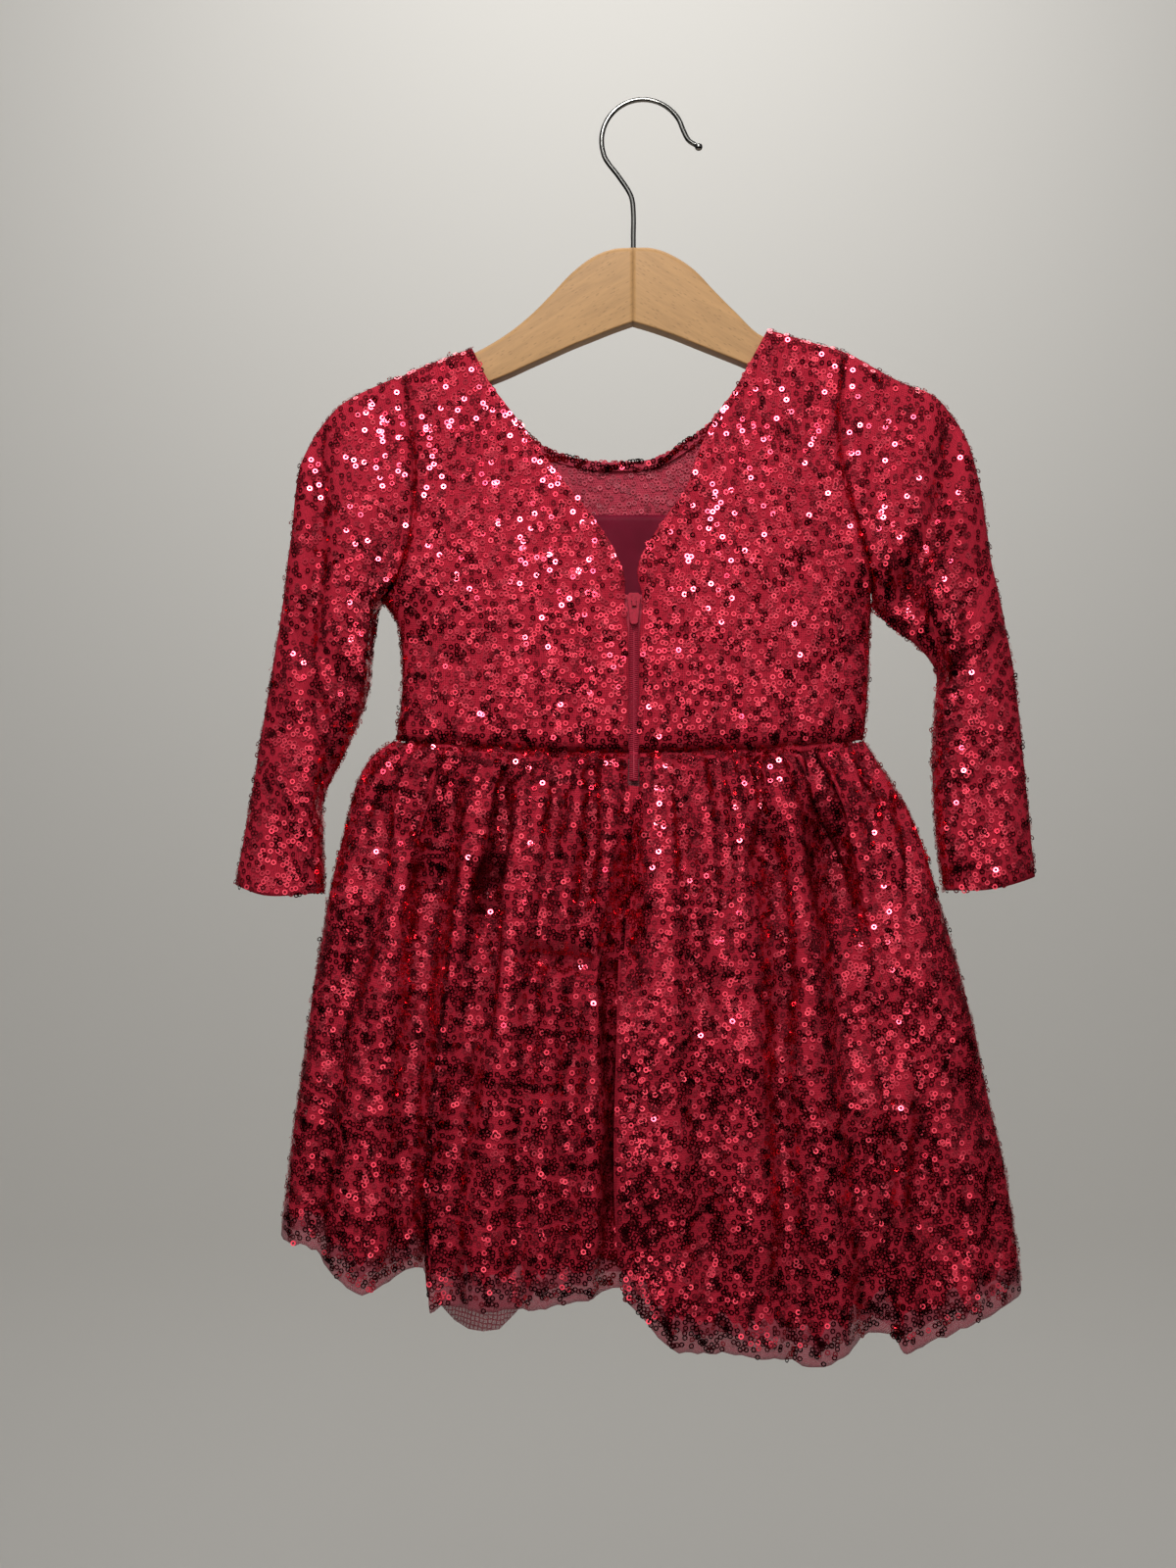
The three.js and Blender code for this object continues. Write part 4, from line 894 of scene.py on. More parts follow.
def sequin_rings(name, centre, normal, seed, tilt=None, lift=0.0):
    """Flat punched rings: 7 outer and 7 inner corners each, tilted at random from the cloth: most
    lie nearly flat and a quarter lean. lift leans them all upwards.
    A ring's corners are centre + r (cos t e1 + sin t e2), with e1 and e2 across its own normal."""
    sizes = bpy.context.scene.dress_sizes
    rng = np.random.default_rng(seed)
    count, sides = len(centre), 7
    tilt = math.tan(sizes.sequin_tilt if tilt is None else tilt)
    outer = sizes.sequin_width / MM / 2
    inner = outer * sizes.sequin_hole
    lean = rng.normal(0, tilt, (count, 3)) * np.where(rng.random((count, 1)) < 0.24, 2.0, 0.62)
    axis = normal + lean + np.array([0, 0, lift])
    axis /= np.linalg.norm(axis, axis=1, keepdims=True)
    e1 = np.cross(axis, rng.normal(0, 1, (count, 3)))
    e1 /= np.linalg.norm(e1, axis=1, keepdims=True)
    e2 = np.cross(axis, e1)
    slope = np.linalg.norm(np.cross(axis, normal), axis=1, keepdims=True)
    centre = centre + normal * (0.25 + 0.8 * outer * slope + rng.uniform(0, 0.45, (count, 1)))
    angle = np.arange(sides) * 2 * np.pi / sides
    spoke = np.cos(angle)[None, :, None] * e1[:, None] + np.sin(angle)[None, :, None] * e2[:, None]
    rim = centre[:, None] + outer * spoke
    hole = centre[:, None] + inner * spoke
    places = np.concatenate([rim, hole], axis=1)
    turn = np.arange(sides)
    ahead = (turn + 1) % sides
    one = np.stack([turn, ahead, ahead + sides, turn + sides], -1)
    faces = (np.arange(count) * 2 * sides)[:, None, None] + one[None]
    tone = np.repeat(rng.random(count), 2 * sides)
    return make_mesh(name, places, [faces.reshape(-1, 4)], tone=tone, smooth_shaded=False)


def edge_line(cloth, share):
    """Columns and rows of a close line of sequins along the upper `share` of the last column."""
    reach = np.linalg.norm(np.diff(cloth[:, -1], axis=0), axis=1)
    reach = np.concatenate([[0], np.cumsum(reach)])
    step = np.arange(reach[-1] * (1 - share) + 1, reach[-1] - 1, 2.1)
    j = np.interp(step, reach, np.arange(len(reach)))
    inward = 1.6 + 0.4 * np.sin(step * 2.3)
    last = cloth.shape[1] - 1
    here, before = sampled(cloth, 0 * j + last, j), sampled(cloth, 0 * j + last - 1, j)
    spacing = np.linalg.norm(here - before, axis=1)
    return np.stack([last - inward / spacing, j], -1)


def sewn_sequins(name, cloth, seed, ring=False, each=None, keep=None, lift=0.0, edged=0.0):
    """Sequins over the outer face of a cloth grid. keep is a test of columns, rows and places.
    edged is the share of the grid's last column that has a close line of them besides."""
    sizes = bpy.context.scene.dress_sizes
    normal, _ = normals(cloth, ring)
    if ring:
        cloth = np.concatenate([cloth, cloth[:, :1]], axis=1)
        normal = np.concatenate([normal, normal[:, :1]], axis=1)
    each = sizes.cloth_per_sequin if each is None else each
    at = sewn_places(cloth, ring, each, seed)
    if edged:
        at = np.concatenate([at, edge_line(cloth, edged)])
    centre, out = sampled(cloth, at[:, 0], at[:, 1]), sampled(normal, at[:, 0], at[:, 1])
    out /= np.maximum(np.linalg.norm(out, axis=1, keepdims=True), 1e-6)
    if keep is not None:
        kept = keep(at[:, 0] / (cloth.shape[1] - 1), at[:, 1] / (cloth.shape[0] - 1), centre)
        centre, out = centre[kept], out[kept]
    return sequin_rings(name, centre, out, seed + 1, lift=lift)


# ---------------------------------------------------------------- materials


def srgb(code):
    """A hex colour as linear red, green, blue and alpha."""
    parts = [int(code[i : i + 2], 16) / 255 for i in (1, 3, 5)]
    linear = [p / 12.92 if p <= 0.04045 else ((p + 0.055) / 1.055) ** 2.4 for p in parts]
    return (*linear, 1.0)


def node(tree, kind, links=None, **settings):
    """Adds a node. settings are its properties or its unlinked inputs, links its linked inputs."""
    made = tree.nodes.new(kind)
    for key, value in settings.items():
        if hasattr(made, key):
            setattr(made, key, value)
        else:
            made.inputs[key.replace("_", " ")].default_value = value
    for key, source in (links or {}).items():
        tree.links.new(source, made.inputs[key])
    return made


def new_material(name, **values):
    """A material with a Principled shader, its constants set on the shader's own sockets."""
    made = bpy.data.materials.new(name)
    made.use_nodes = True
    shader = made.node_tree.nodes["Principled BSDF"]
    for key, value in values.items():
        shader.inputs[key.replace("_", " ")].default_value = value
    return made, made.node_tree, shader


def ramp(tree, source, *stops):
    """A colour ramp of (place, colour) stops."""
    made = node(tree, "ShaderNodeValToRGB", {"Fac": source})
    elements = made.color_ramp.elements
    while len(elements) < len(stops):
        elements.new(0.5)
    for element, (place, colour) in zip(elements, stops):
        element.position = place
        element.color = colour
    return made.outputs["Color"]


def grey(level):
    """A grey of a linear level."""
    return (level, level, level, 1.0)


def chosen(name):
    """A colour of the panel by its name."""
    return tuple(getattr(bpy.context.scene.dress_colours, name))


def shaded(base, share, more=0.0):
    """A colour times share, plus more, held below 1."""
    return tuple(min(1, share * c + more) for c in base[:3]) + (1,)


def colour_from(tree, shader, source, *stops):
    """Colours a shader by a ramp over source."""
    tree.links.new(ramp(tree, source, *stops), shader.inputs["Base Color"])


def ranged(tree, source, low, high, start=0.0, end=1.0):
    """A value that runs from low to high while source runs from start to end."""
    return node(
        tree, "ShaderNodeMapRange", {"Value": source},
        From_Min=start, From_Max=end, To_Min=low, To_Max=high,
    ).outputs["Result"]


def noise(tree, place, scale, detail=2.0, **more):
    """Soft noise over a place."""
    return node(
        tree, "ShaderNodeTexNoise", {"Vector": place}, Scale=scale, Detail=detail, **more
    ).outputs["Fac"]


def roughness_from(tree, shader, source, low, high):
    """Makes a shader's roughness run from low to high with source."""
    tree.links.new(ranged(tree, source, low, high), shader.inputs["Roughness"])


def bump_from(tree, shader, height, strength, distance):
    """Bumps a shader's surface by a height."""
    bump = node(tree, "ShaderNodeBump", {"Height": height}, Strength=strength, Distance=distance)
    tree.links.new(bump.outputs["Normal"], shader.inputs["Normal"])


def object_place(tree):
    """The place on the piece, in metres."""
    return node(tree, "ShaderNodeTexCoord").outputs["Object"]


def cloth_uv(tree):
    """The place on a cloth, in metres along its rows and columns."""
    return node(tree, "ShaderNodeUVMap", uv_map="cloth").outputs["UV"]


def piece_tone(tree):
    """The random share that each sequin has of its own."""
    return node(tree, "ShaderNodeAttribute", attribute_name="tone").outputs["Fac"]


def painted_fold_shade(tree, colour, darkest):
    """Painted shade: a colour darkened where the piece's own folds close round it, within 25 mm, by
    ambient occlusion worked into the colour itself.
    """
    near = node(tree, "ShaderNodeAmbientOcclusion", samples=6, only_local=True, Distance=0.025)
    shade = ranged(tree, near.outputs["AO"], darkest, 1.0, 0.35, 0.92)
    made = node(tree, "ShaderNodeVectorMath", {0: colour}, operation="SCALE")
    tree.links.new(shade, made.inputs["Scale"])
    return made.outputs["Vector"]


def sequin_film():
    """Polyester film, dyed red, vacuum-metallised and punched into rings: a mirror-like colour
    with a clear face, so that a ring flashes when it faces a light and is dark when it doesn't."""
    made, tree, shader = new_material(
        "metallised_polyester_sequin", Metallic=1.0, Roughness=0.1,
        Coat_Weight=0.5, Coat_Roughness=0.05,
    )
    tone = piece_tone(tree)
    base = chosen("sequin")
    dark, light = shaded(base, 0.62), shaded(base, 1.25, 0.03)
    colour = ramp(tree, tone, (0.0, dark), (0.7, base), (1.0, light))
    # Painted shade: the film's colour is darkened where the piece's own folds close round it, down
    # to a quarter.
    tree.links.new(painted_fold_shade(tree, colour, 0.25), shader.inputs["Base Color"])
    roughness_from(tree, shader, tone, 0.06, 0.15)
    return made


def net_threads(tree, pitch, thread):
    """A knitted net by the cloth's own UV: hexagon-like holes one pitch apart, 1 on the thread."""
    uv = cloth_uv(tree)
    cells = node(
        tree, "ShaderNodeTexVoronoi", {"Vector": uv},
        feature="DISTANCE_TO_EDGE", voronoi_dimensions="2D",
        Scale=1 / (pitch * MM), Randomness=0.25,
    )
    return ranged(tree, cells.outputs["Distance"], 1.0, 0.0, thread * 0.6, thread), uv


def net_face(name, base, thread_width, patches, dark, light, fold=None):
    """One face of the knitted net: matt, patchy, with lighter threads. patches are the scale and
    roughness of the patches and the two ends of their ramp; dark and light are shares of base for
    the patches and the threads; fold is how dark the painted shade gets where the piece's own
    folds close round it."""
    made, tree, shader = new_material(name, Roughness=0.85, Specular_IOR_Level=0.08)
    thread, uv = net_threads(tree, NET_PITCH, thread_width)
    scale, rough, low, high = patches
    patchy = noise(tree, uv, scale, 3.0, Roughness=rough)
    ground = ramp(tree, patchy, (low, shaded(base, dark)), (high, base))
    mixed = node(tree, "ShaderNodeMix", data_type="RGBA", blend_type="MIX")
    tree.links.new(thread, mixed.inputs[0])
    tree.links.new(ground, mixed.inputs[6])
    mixed.inputs[7].default_value = shaded(base, light)
    # Painted shade: with fold given, the net's colour is darkened where the piece's own folds close
    # round it.
    colour = mixed.outputs[2] if fold is None else painted_fold_shade(tree, mixed.outputs[2], fold)
    tree.links.new(colour, shader.inputs["Base Color"])
    bump_from(tree, shader, thread, 0.6, 0.0003)
    return made


def sequin_net():
    """Knitted polyester net over a jersey lining, the ground that the sequins are sewn on: matt,
    with a fine mesh and the thread of the sewing wandering over it."""
    patches = (520.0, 0.6, 0.3, 0.62)
    base = chosen("net_ground")
    # Painted shade: fold=0.15 darkens the ground's colour where its own folds close round it, down
    # to 0.15 of it.
    return net_face("knitted_net_ground", base, 0.16, patches, 0.42, 1.35, fold=0.15)


def net_wrong_side():
    """The net's wrong side, paler and pinker than its face, with the sewing threads showing."""
    patches = (260.0, 0.65, 0.35, 0.6)
    return net_face("knitted_net_wrong_side", chosen("net_inside"), 0.18, patches, 0.45, 1.4)


def open_net(name, colour, roughness, pitch, thread_width, low, high):
    """A single layer of net, see-through between its threads: its alpha runs from low to high."""
    made, tree, shader = new_material(
        name, Base_Color=colour, Roughness=roughness, Sheen_Weight=0.2
    )
    thread, _ = net_threads(tree, pitch, thread_width)
    tree.links.new(ranged(tree, thread, low, high), shader.inputs["Alpha"])
    return made


def soft_tulle():
    """Tulle, an open knitted net: pale pink where it lies over a light ground, see-through
    between its threads. Its mesh is drawn at twice the real pitch, so that it shows."""
    return open_net("nylon_tulle", chosen("tulle"), 0.6, 2 * NET_PITCH, 0.13, 0.5, 0.95)


def raw_net():
    """The same knitted net as the ground, unlined at the raw hem, so that light comes through."""
    return open_net("knitted_net_raw_edge", chosen("raw_edge"), 0.7, NET_PITCH, 0.16, 0.52, 0.85)


def satin():
    """Polyester satin, woven with long floats: a smooth, deep colour with a soft sheen."""
    made, tree, shader = new_material(
        "polyester_satin", Roughness=0.5, Specular_IOR_Level=0.12, Anisotropic=0.4
    )
    uv = cloth_uv(tree)
    weave = node(
        tree, "ShaderNodeTexWave", {"Vector": uv},
        wave_type="BANDS", bands_direction="Y", Scale=1400.0, Distortion=0.6, Detail=1.0,
    )
    base = chosen("lining")
    stops = (0.35, shaded(base, 0.8)), (0.65, shaded(base, 1.15))
    colour_from(tree, shader, noise(tree, uv, 45.0), *stops)
    bump_from(tree, shader, weave.outputs["Fac"], 0.25, 0.0001)
    return made


def sequin_back():
    """The uncoated back of the sequins, seen through the net: matt polyester film."""
    made, tree, shader = new_material("polyester_film_back", Roughness=0.5, Specular_IOR_Level=0.3)
    base = chosen("net_inside")
    colour_from(tree, shader, piece_tone(tree), (0.0, shaded(base, 0.7)), (1.0, shaded(base, 1.5)))
    return made


def zip_nylon():
    """Nylon, moulded or woven: the zip's coil and tape, smooth and slightly shiny."""
    made, tree, shader = new_material("dyed_nylon_zip", Roughness=0.42, Specular_IOR_Level=0.25)
    weave = node(
        tree, "ShaderNodeTexWave", {"Vector": object_place(tree)},
        wave_type="BANDS", bands_direction="Z", Scale=1100.0, Distortion=1.0, Detail=1.0,
    )
    base = chosen("zip")
    colour_from(tree, shader, weave.outputs["Fac"], (0.2, shaded(base, 0.6)), (0.8, base))
    bump_from(tree, shader, weave.outputs["Fac"], 0.3, 0.0001)
    return made


def zip_paint():
    """Zinc alloy under a stoved red enamel: glossy, a little paler or darker in small random
    patches.
    """
    made, tree, shader = new_material(
        "enamelled_zinc", Roughness=0.35, Specular_IOR_Level=0.15,
        Coat_Weight=0.05, Coat_Roughness=0.2,
    )
    worn = noise(tree, object_place(tree), 900.0, 3.0)
    base = chosen("slider")
    colour_from(tree, shader, worn, (0.35, shaded(base, 0.8)), (0.7, shaded(base, 1.2)))
    roughness_from(tree, shader, worn, 0.22, 0.4)
    return made


def mapped(tree, source, socket, value):
    """A place moved by a mapping with one socket set."""
    made = node(tree, "ShaderNodeMapping", {"Vector": source})
    made.inputs[socket].default_value = value
    return made.outputs["Vector"]


def beech(name, slope):
    """Steamed beech, planed and waxed: pale, straight-grained along the arm, with short dark
    flecks 1 to 3 mm long. slope is the angle of the arm's grain."""
    made, tree, shader = new_material(name, Roughness=0.5, Specular_IOR_Level=0.3)
    along = mapped(tree, object_place(tree), "Rotation", (0, slope, 0))
    stretched = mapped(tree, along, "Scale", (0.12, 1.0, 1.0))
    grain = noise(tree, stretched, 420.0, 4.0, Roughness=0.6, Distortion=0.4)
    base = chosen("wood")
    stops = (0.3, shaded(base, 0.86)), (0.55, base), (0.8, shaded(base, 1.1))
    colour = ramp(tree, grain, *stops)
    fleck_place = mapped(tree, along, "Scale", (0.22, 0.6, 1.0))
    flecks = node(tree, "ShaderNodeTexVoronoi", {"Vector": fleck_place}, Scale=950.0)
    dots = ranged(tree, flecks.outputs["Distance"], 0.72, 1.0, 0.1, 0.26)
    shade = ranged(tree, noise(tree, stretched, 70.0), 0.94, 1.05, 0.3, 0.7)
    both = node(tree, "ShaderNodeMath", {0: dots, 1: shade}, operation="MULTIPLY")
    mixed = node(tree, "ShaderNodeVectorMath", {0: colour}, operation="SCALE")
    tree.links.new(both.outputs["Value"], mixed.inputs["Scale"])
    tree.links.new(mixed.outputs["Vector"], shader.inputs["Base Color"])
    bump_from(tree, shader, both.outputs["Value"], 0.15, 0.0002)
    return made


def chromed_steel():
    """Drawn steel wire, bright chrome plated: a mirror with faint draw marks."""
    made, tree, shader = new_material(
        "chrome_plated_steel", Base_Color=chosen("steel"), Metallic=1.0, Roughness=0.1
    )
    roughness_from(tree, shader, noise(tree, object_place(tree), 500.0), 0.06, 0.2)
    return made


def matt_paint(name, colour):
    """Matt emulsion on board, with the faint unevenness of a roller."""
    made, tree, shader = new_material(name, Base_Color=colour, Roughness=0.9)
    bump_from(tree, shader, noise(tree, object_place(tree), 60.0, 3.0), 0.05, 0.002)
    return made


MATERIALS = {}


def finish_of(key):
    """The material of a finish, made once."""
    makers = {
        "film": sequin_film,
        "film_back": sequin_back,
        "ground": sequin_net,
        "wrong_side": net_wrong_side,
        "tulle": soft_tulle,
        "raw_edge": raw_net,
        "satin": satin,
        "nylon": zip_nylon,
        "enamel": zip_paint,
        "beech_left": lambda: beech("waxed_beech_left", math.radians(31)),
        "beech_right": lambda: beech("waxed_beech_right", math.radians(-31)),
        "chrome": chromed_steel,
    }
    if key not in MATERIALS:
        MATERIALS[key] = makers[key]()
    return MATERIALS[key]


def dress_piece(obj, finish, replaces=()):
    """Gives a piece its finish, the dress's body and the CAD nodes that it stands for."""
    obj.data.materials.clear()
    obj.data.materials.append(finish_of(finish))
    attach(obj, DRESS)
    if replaces:
        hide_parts(*replaces)
    return obj


# ---------------------------------------------------------------- settings


class DressSizes(bpy.types.PropertyGroup):
    """Sizes that a user would change."""

    cloth_wall: bpy.props.FloatProperty(
        name="Cloth wall", description="Thickness of the lined net", default=0.0009,
        min=0.0003, max=0.0014, unit="LENGTH",
    )
    sequin_width: bpy.props.FloatProperty(
        name="Sequin width", description="Diameter of one punched ring", default=0.0027,
        min=0.001, max=0.006, unit="LENGTH",
    )
    sequin_hole: bpy.props.FloatProperty(
        name="Sequin hole", description="Diameter of the hole as a share of the ring's",
        default=0.54, min=0.1, max=0.8, subtype="FACTOR",
    )
    sequin_tilt: bpy.props.FloatProperty(
        name="Sequin tilt", description="How far most rings lean from the cloth",
        default=math.radians(6.5), subtype="ANGLE",
    )
    cloth_per_sequin: bpy.props.FloatProperty(
        name="Cloth per sequin", description="Square millimetres of cloth for each sequin",
        default=6.8, min=4.0, max=40.0,
    )
    raw_edge: bpy.props.FloatProperty(
        name="Raw edge", description="Unlined net below the skirt's lining", default=0.010,
        min=0.0, max=0.03, unit="LENGTH",
    )


def colour_setting(name, description, code):
    """A colour of the panel with its default as a hex code."""
    return bpy.props.FloatVectorProperty(
        name=name, description=description, default=srgb(code), size=4, subtype="COLOR",
        min=0, max=1,
    )


class DressColours(bpy.types.PropertyGroup):
    """Colours that a user would change."""

    sequin: colour_setting("Sequins", "Face of the metallised film", "#e03048")
    net_ground: colour_setting("Net", "Net between the sequins, over its lining", "#c0283c")
    net_inside: colour_setting("Net inside", "Wrong side of the net", "#b83e50")
    raw_edge: colour_setting("Raw edge", "Unlined net at the hem", "#b04a58")
    tulle: colour_setting("Tulle", "Net underskirt", "#b8545f")
    lining: colour_setting("Lining", "Satin lining of the front", "#780c2a")
    zip: colour_setting("Zip", "Coil and tape", "#d02c4a")
    slider: colour_setting("Slider", "Enamel of the slider and its tab", "#c0203c")
    wood: colour_setting("Wood", "Beech of the hanger", "#cb9c68")
    steel: colour_setting("Hook", "Chrome plating", "#94928d")
    backdrop: colour_setting("Backdrop", "Floor and wall of the stage", "#cfccc6")


# ---------------------------------------------------------------- operators


def rows_up(count):
    """Shares of a bodice's height, drawn together towards the shoulder."""
    return 1 - (1 - np.linspace(0, 1, count)) ** 1.6


def from_armhole(away, v):
    """The way from the outer edge of a bodice piece, or far off it below the underarm, where the
    edge is a side seam."""
    return away + 40 * (1 - smooth((v - UNDERARM + 0.04) / 0.06))


def seen_from_inside(grid, wall, each, seed):
    """Places and inward normals of sequins behind a cloth's wall."""
    normal, _ = normals(grid)
    inside = grid - wall * normal
    at = sewn_places(inside, False, each, seed)
    return sampled(inside, at[:, 0], at[:, 1]), -sampled(normal, at[:, 0], at[:, 1])


def sewn_piece(name, grid, seed, lift, ring=False, edged=0.0):
    """A cloth wall with its sequins, standing for the CAD node of the same name."""
    wall = bpy.context.scene.dress_sizes.cloth_wall / MM
    cloth = shell(name + "_cloth", grid, wall, ring)
    dress_piece(cloth, "ground", [name])
    rings = sewn_sequins(name + "_sequins", grid, seed, ring, lift=lift, edged=edged)
    dress_piece(rings, "film")
    return cloth


class DRESS_OT_bodice(bpy.types.Operator):
    """Make the two back panels and the front of the bodice"""

    bl_idname = "dress.bodice"
    bl_label = "Bodice"

    def execute(self, context):
        for side, seed, area in (("left", 100, 0.0168), ("right", 110, 0.0178)):
            t = np.linspace(0, 1, 48)
            f, v = np.meshgrid(lerp(t, t**2, 0.5), rows_up(64))
            grid = back_panel(side, f, v)
            grid = rippled(creased(grid, CREASES["bodice_back_" + side]), 0.35, seed)
            across, up = np.moveaxis(lengths(grid), -1, 0)
            grid = grooved(grid, up, 2.2, 2.6)
            grid = grooved(grid, from_armhole(across, v), 2.4, 1.7)
            sewn_piece(
                "bodice_back_" + side, grid, seed,
                lift=0.02, edged=0.62,
            )
        f, v = np.meshgrid(spread(84, 0.6), rows_up(60))
        grid = bodice_form("front", front_place(f, v))
        grid = rippled(creased(grid, CREASES["bodice_front"]), 0.35, 120)
        across, up = np.moveaxis(lengths(grid), -1, 0)
        grid = grooved(grid, up, 1.6, 2.6)
        side = np.minimum(across, across[:, -1:] - across)
        grid = grooved(grid, from_armhole(side, v), 1.0)
        wall = context.scene.dress_sizes.cloth_wall / MM
        cloth = shell("bodice_front_cloth", grid, wall)
        dress_piece(cloth, "ground", ["bodice_front"])
        cloth.data.materials.append(finish_of("wrong_side"))
        inner = np.zeros(len(cloth.data.polygons), np.int32)
        faces = (grid.shape[0] - 1) * (grid.shape[1] - 1)
        inner[faces : 2 * faces] = 1
        cloth.data.polygons.foreach_set("material_index", inner)
        rings = sewn_sequins("bodice_front_sequins", grid, 120, each=8.2)
        dress_piece(rings, "film")
        centre, out = seen_from_inside(grid, wall + 0.05, 7.0, 130)
        # Only the part that shows through the V of the back.
        seen = (centre[:, 2] > -215) & (np.abs(centre[:, 0] + 12) < 75)
        behind = sequin_rings(
            "bodice_front_sequin_backs", centre[seen], out[seen], 131, math.radians(5)
        )
        dress_piece(behind, "film_back")
        return {"FINISHED"}


class DRESS_OT_neck(bpy.types.Operator):
    """Make the front's satin lining and the turned hem of its neck"""

    bl_idname = "dress.neck"
    bl_label = "Lining and neck hem"

    def execute(self, context):
        clear = 9.0  # of the bodice's side edges
        left, right = outer_edge("left"), outer_edge("right")
        top_left = left(np.array([0.62]))[0, 0] + clear
        top_right = right(np.array([0.62]))[0, 0] - clear
        low_left, low_right = SIDE_SEAM["left"][0][0] + clear, SIDE_SEAM["right"][0][0] - clear
        place = patch(
            waist_edge(low_left, low_right),
            straight((top_left, LINING_TOP_Z), (top_right, LINING_TOP_Z)),
            straight((low_left, WAIST_SIDE_Z), (top_left, LINING_TOP_Z)),
            straight((low_right, WAIST_SIDE_Z), (top_right, LINING_TOP_Z)),
        )(*np.meshgrid(spread(60, 0.5), spread(40)))
        grid = rippled(bodice_form("front", place, LINING_DEEP), 0.35, 140)
        lining = shell("front_lining", grid, LINING_WALL)
        dress_piece(lining, "satin", ["lining_front"])

        neck = line(FRONT_NECK)
        t, v = np.meshgrid(lerp(0.09, 0.91, spread(120)), spread(7))
        here, ahead = neck(t), neck(t + 0.01)
        way = ahead - here
        way /= np.linalg.norm(way, axis=-1, keepdims=True)
        down = (v * NECK_HEM_WIDTH)[..., None] * np.stack([way[..., 1], -way[..., 0]], -1)
        grid = bodice_form("front", here + down, 1.8)
        hem = shell("neck_hem", grid, HEM_WALL)
        dress_piece(hem, "wrong_side", ["neck_hem_front"])
        centre, out = seen_from_inside(grid, HEM_WALL + 0.1, 3.4, 150)
        rings = sequin_rings("neck_hem_sequins", centre, out, 151, math.radians(12), lift=-0.3)
        dress_piece(rings, "film")
        return {"FINISHED"}


class DRESS_OT_sleeves(bpy.types.Operator):
    """Make the two sleeves"""

    bl_idname = "dress.sleeves"
    bl_label = "Sleeves"

    def execute(self, context):
        for side, seed in (("left", 200), ("right", 210)):
            turn, v = np.meshgrid(np.arange(72) / 72, spread(76))
            grid = sleeve_tube(side, turn, v)
            grid = creased(grid, CREASES["sleeve_" + side], ring=True)
            grid = rippled(grid, 0.55, seed, ring=True)
            grid = grooved(grid, lengths(grid, ring=True)[..., 1], 2.4, 1.7, ring=True)
            sewn_piece(
                "sleeve_" + side, grid, seed,
                ring=True, lift=0.06,
            )
        return {"FINISHED"}


def skirt_grid(side, count, rows):
    """A skirt piece's grid, with its creases, its unevenness and the groove of the waist seam."""
    t, v = np.meshgrid(np.linspace(0, 1, count), np.linspace(0, 1, rows) ** 1.25)
    if side == "front":
        form = skirt_form("front", t, v, scallop=scallops(t, 12))
        form = rippled(creased(form, CREASES["skirt_front"]), 0.55, 300)
    else:
        form = creased(skirt_back_half(side, t, v), CREASES["skirt_back_" + side])
        form = rippled(form, 0.55, 310 if side == "left" else 320)
    return grooved(form, lengths(form)[..., 1], 2.2, 2.2)


def off_hem(down):
    """A test for sequins that keeps an uneven margin above the hem. down is the way from the
    waist to each point of the skirt's grid."""
    rows, count = down.shape

    def test(i, j, place):
        column, row = i * (count - 1), j * (rows - 1)
        left = down[-1][column.astype(int)] - sampled(down[..., None], column, row)[:, 0]
        x = place[:, 0]
        return left > 3.0 + 2.0 * np.sin(x * 0.35) + 1.5 * np.sin(x * 0.83)

    return test


class DRESS_OT_skirt(bpy.types.Operator):
    """Make the skirt: its lined net, the raw edge below the lining and its sequins"""

    bl_idname = "dress.skirt"
    bl_label = "Skirt"

    def execute(self, context):
        sizes = context.scene.dress_sizes
        wall, raw = sizes.cloth_wall / MM, sizes.raw_edge / MM
        pieces = (
            ("skirt_back_left", "left", 68, 84, 400, (0.22, 0.285), 0.058, 5.6),
            ("skirt_back_right", "right", 68, 84, 410, (0.22, 0.3), 0.062, 5.6),
            ("skirt_front", "front", 120, 66, 420, (0.44, 0.285), 0.118, 8.6),
        )
        for name, side, count, rows, seed, flat, area, each in pieces:
            grid = skirt_grid(side, count, rows)
            down = lengths(grid)[..., 1]
            along = np.linspace(0, 1, count)
            uneven = raw + 6.0 * scallops(along, seed)
            to_hem = down[-1:] - down
            end = np.argmin(np.abs(to_hem - uneven), axis=0)
            shares = np.linspace(0, 1, rows - 6)[:, None] * end[None]
            lined = sampled(grid, np.broadcast_to(np.arange(count), shares.shape), shares)
            cloth = shell(name + "_cloth", lined, wall)
            dress_piece(cloth, "ground", [name])
            shares = lerp(np.maximum(end - 1.5, 0)[None], rows - 1, np.linspace(0, 1, 9)[:, None])
            below = sampled(grid, np.broadcast_to(np.arange(count), shares.shape), shares)
            normal, _ = normals(below)
            edge = shell(name + "_raw_edge", below + 0.12 * normal, RAW_WALL)
            dress_piece(edge, "raw_edge")
            rings = sewn_sequins(name + "_sequins", grid, seed, each=each, keep=off_hem(down))
            dress_piece(rings, "film")
        return {"FINISHED"}


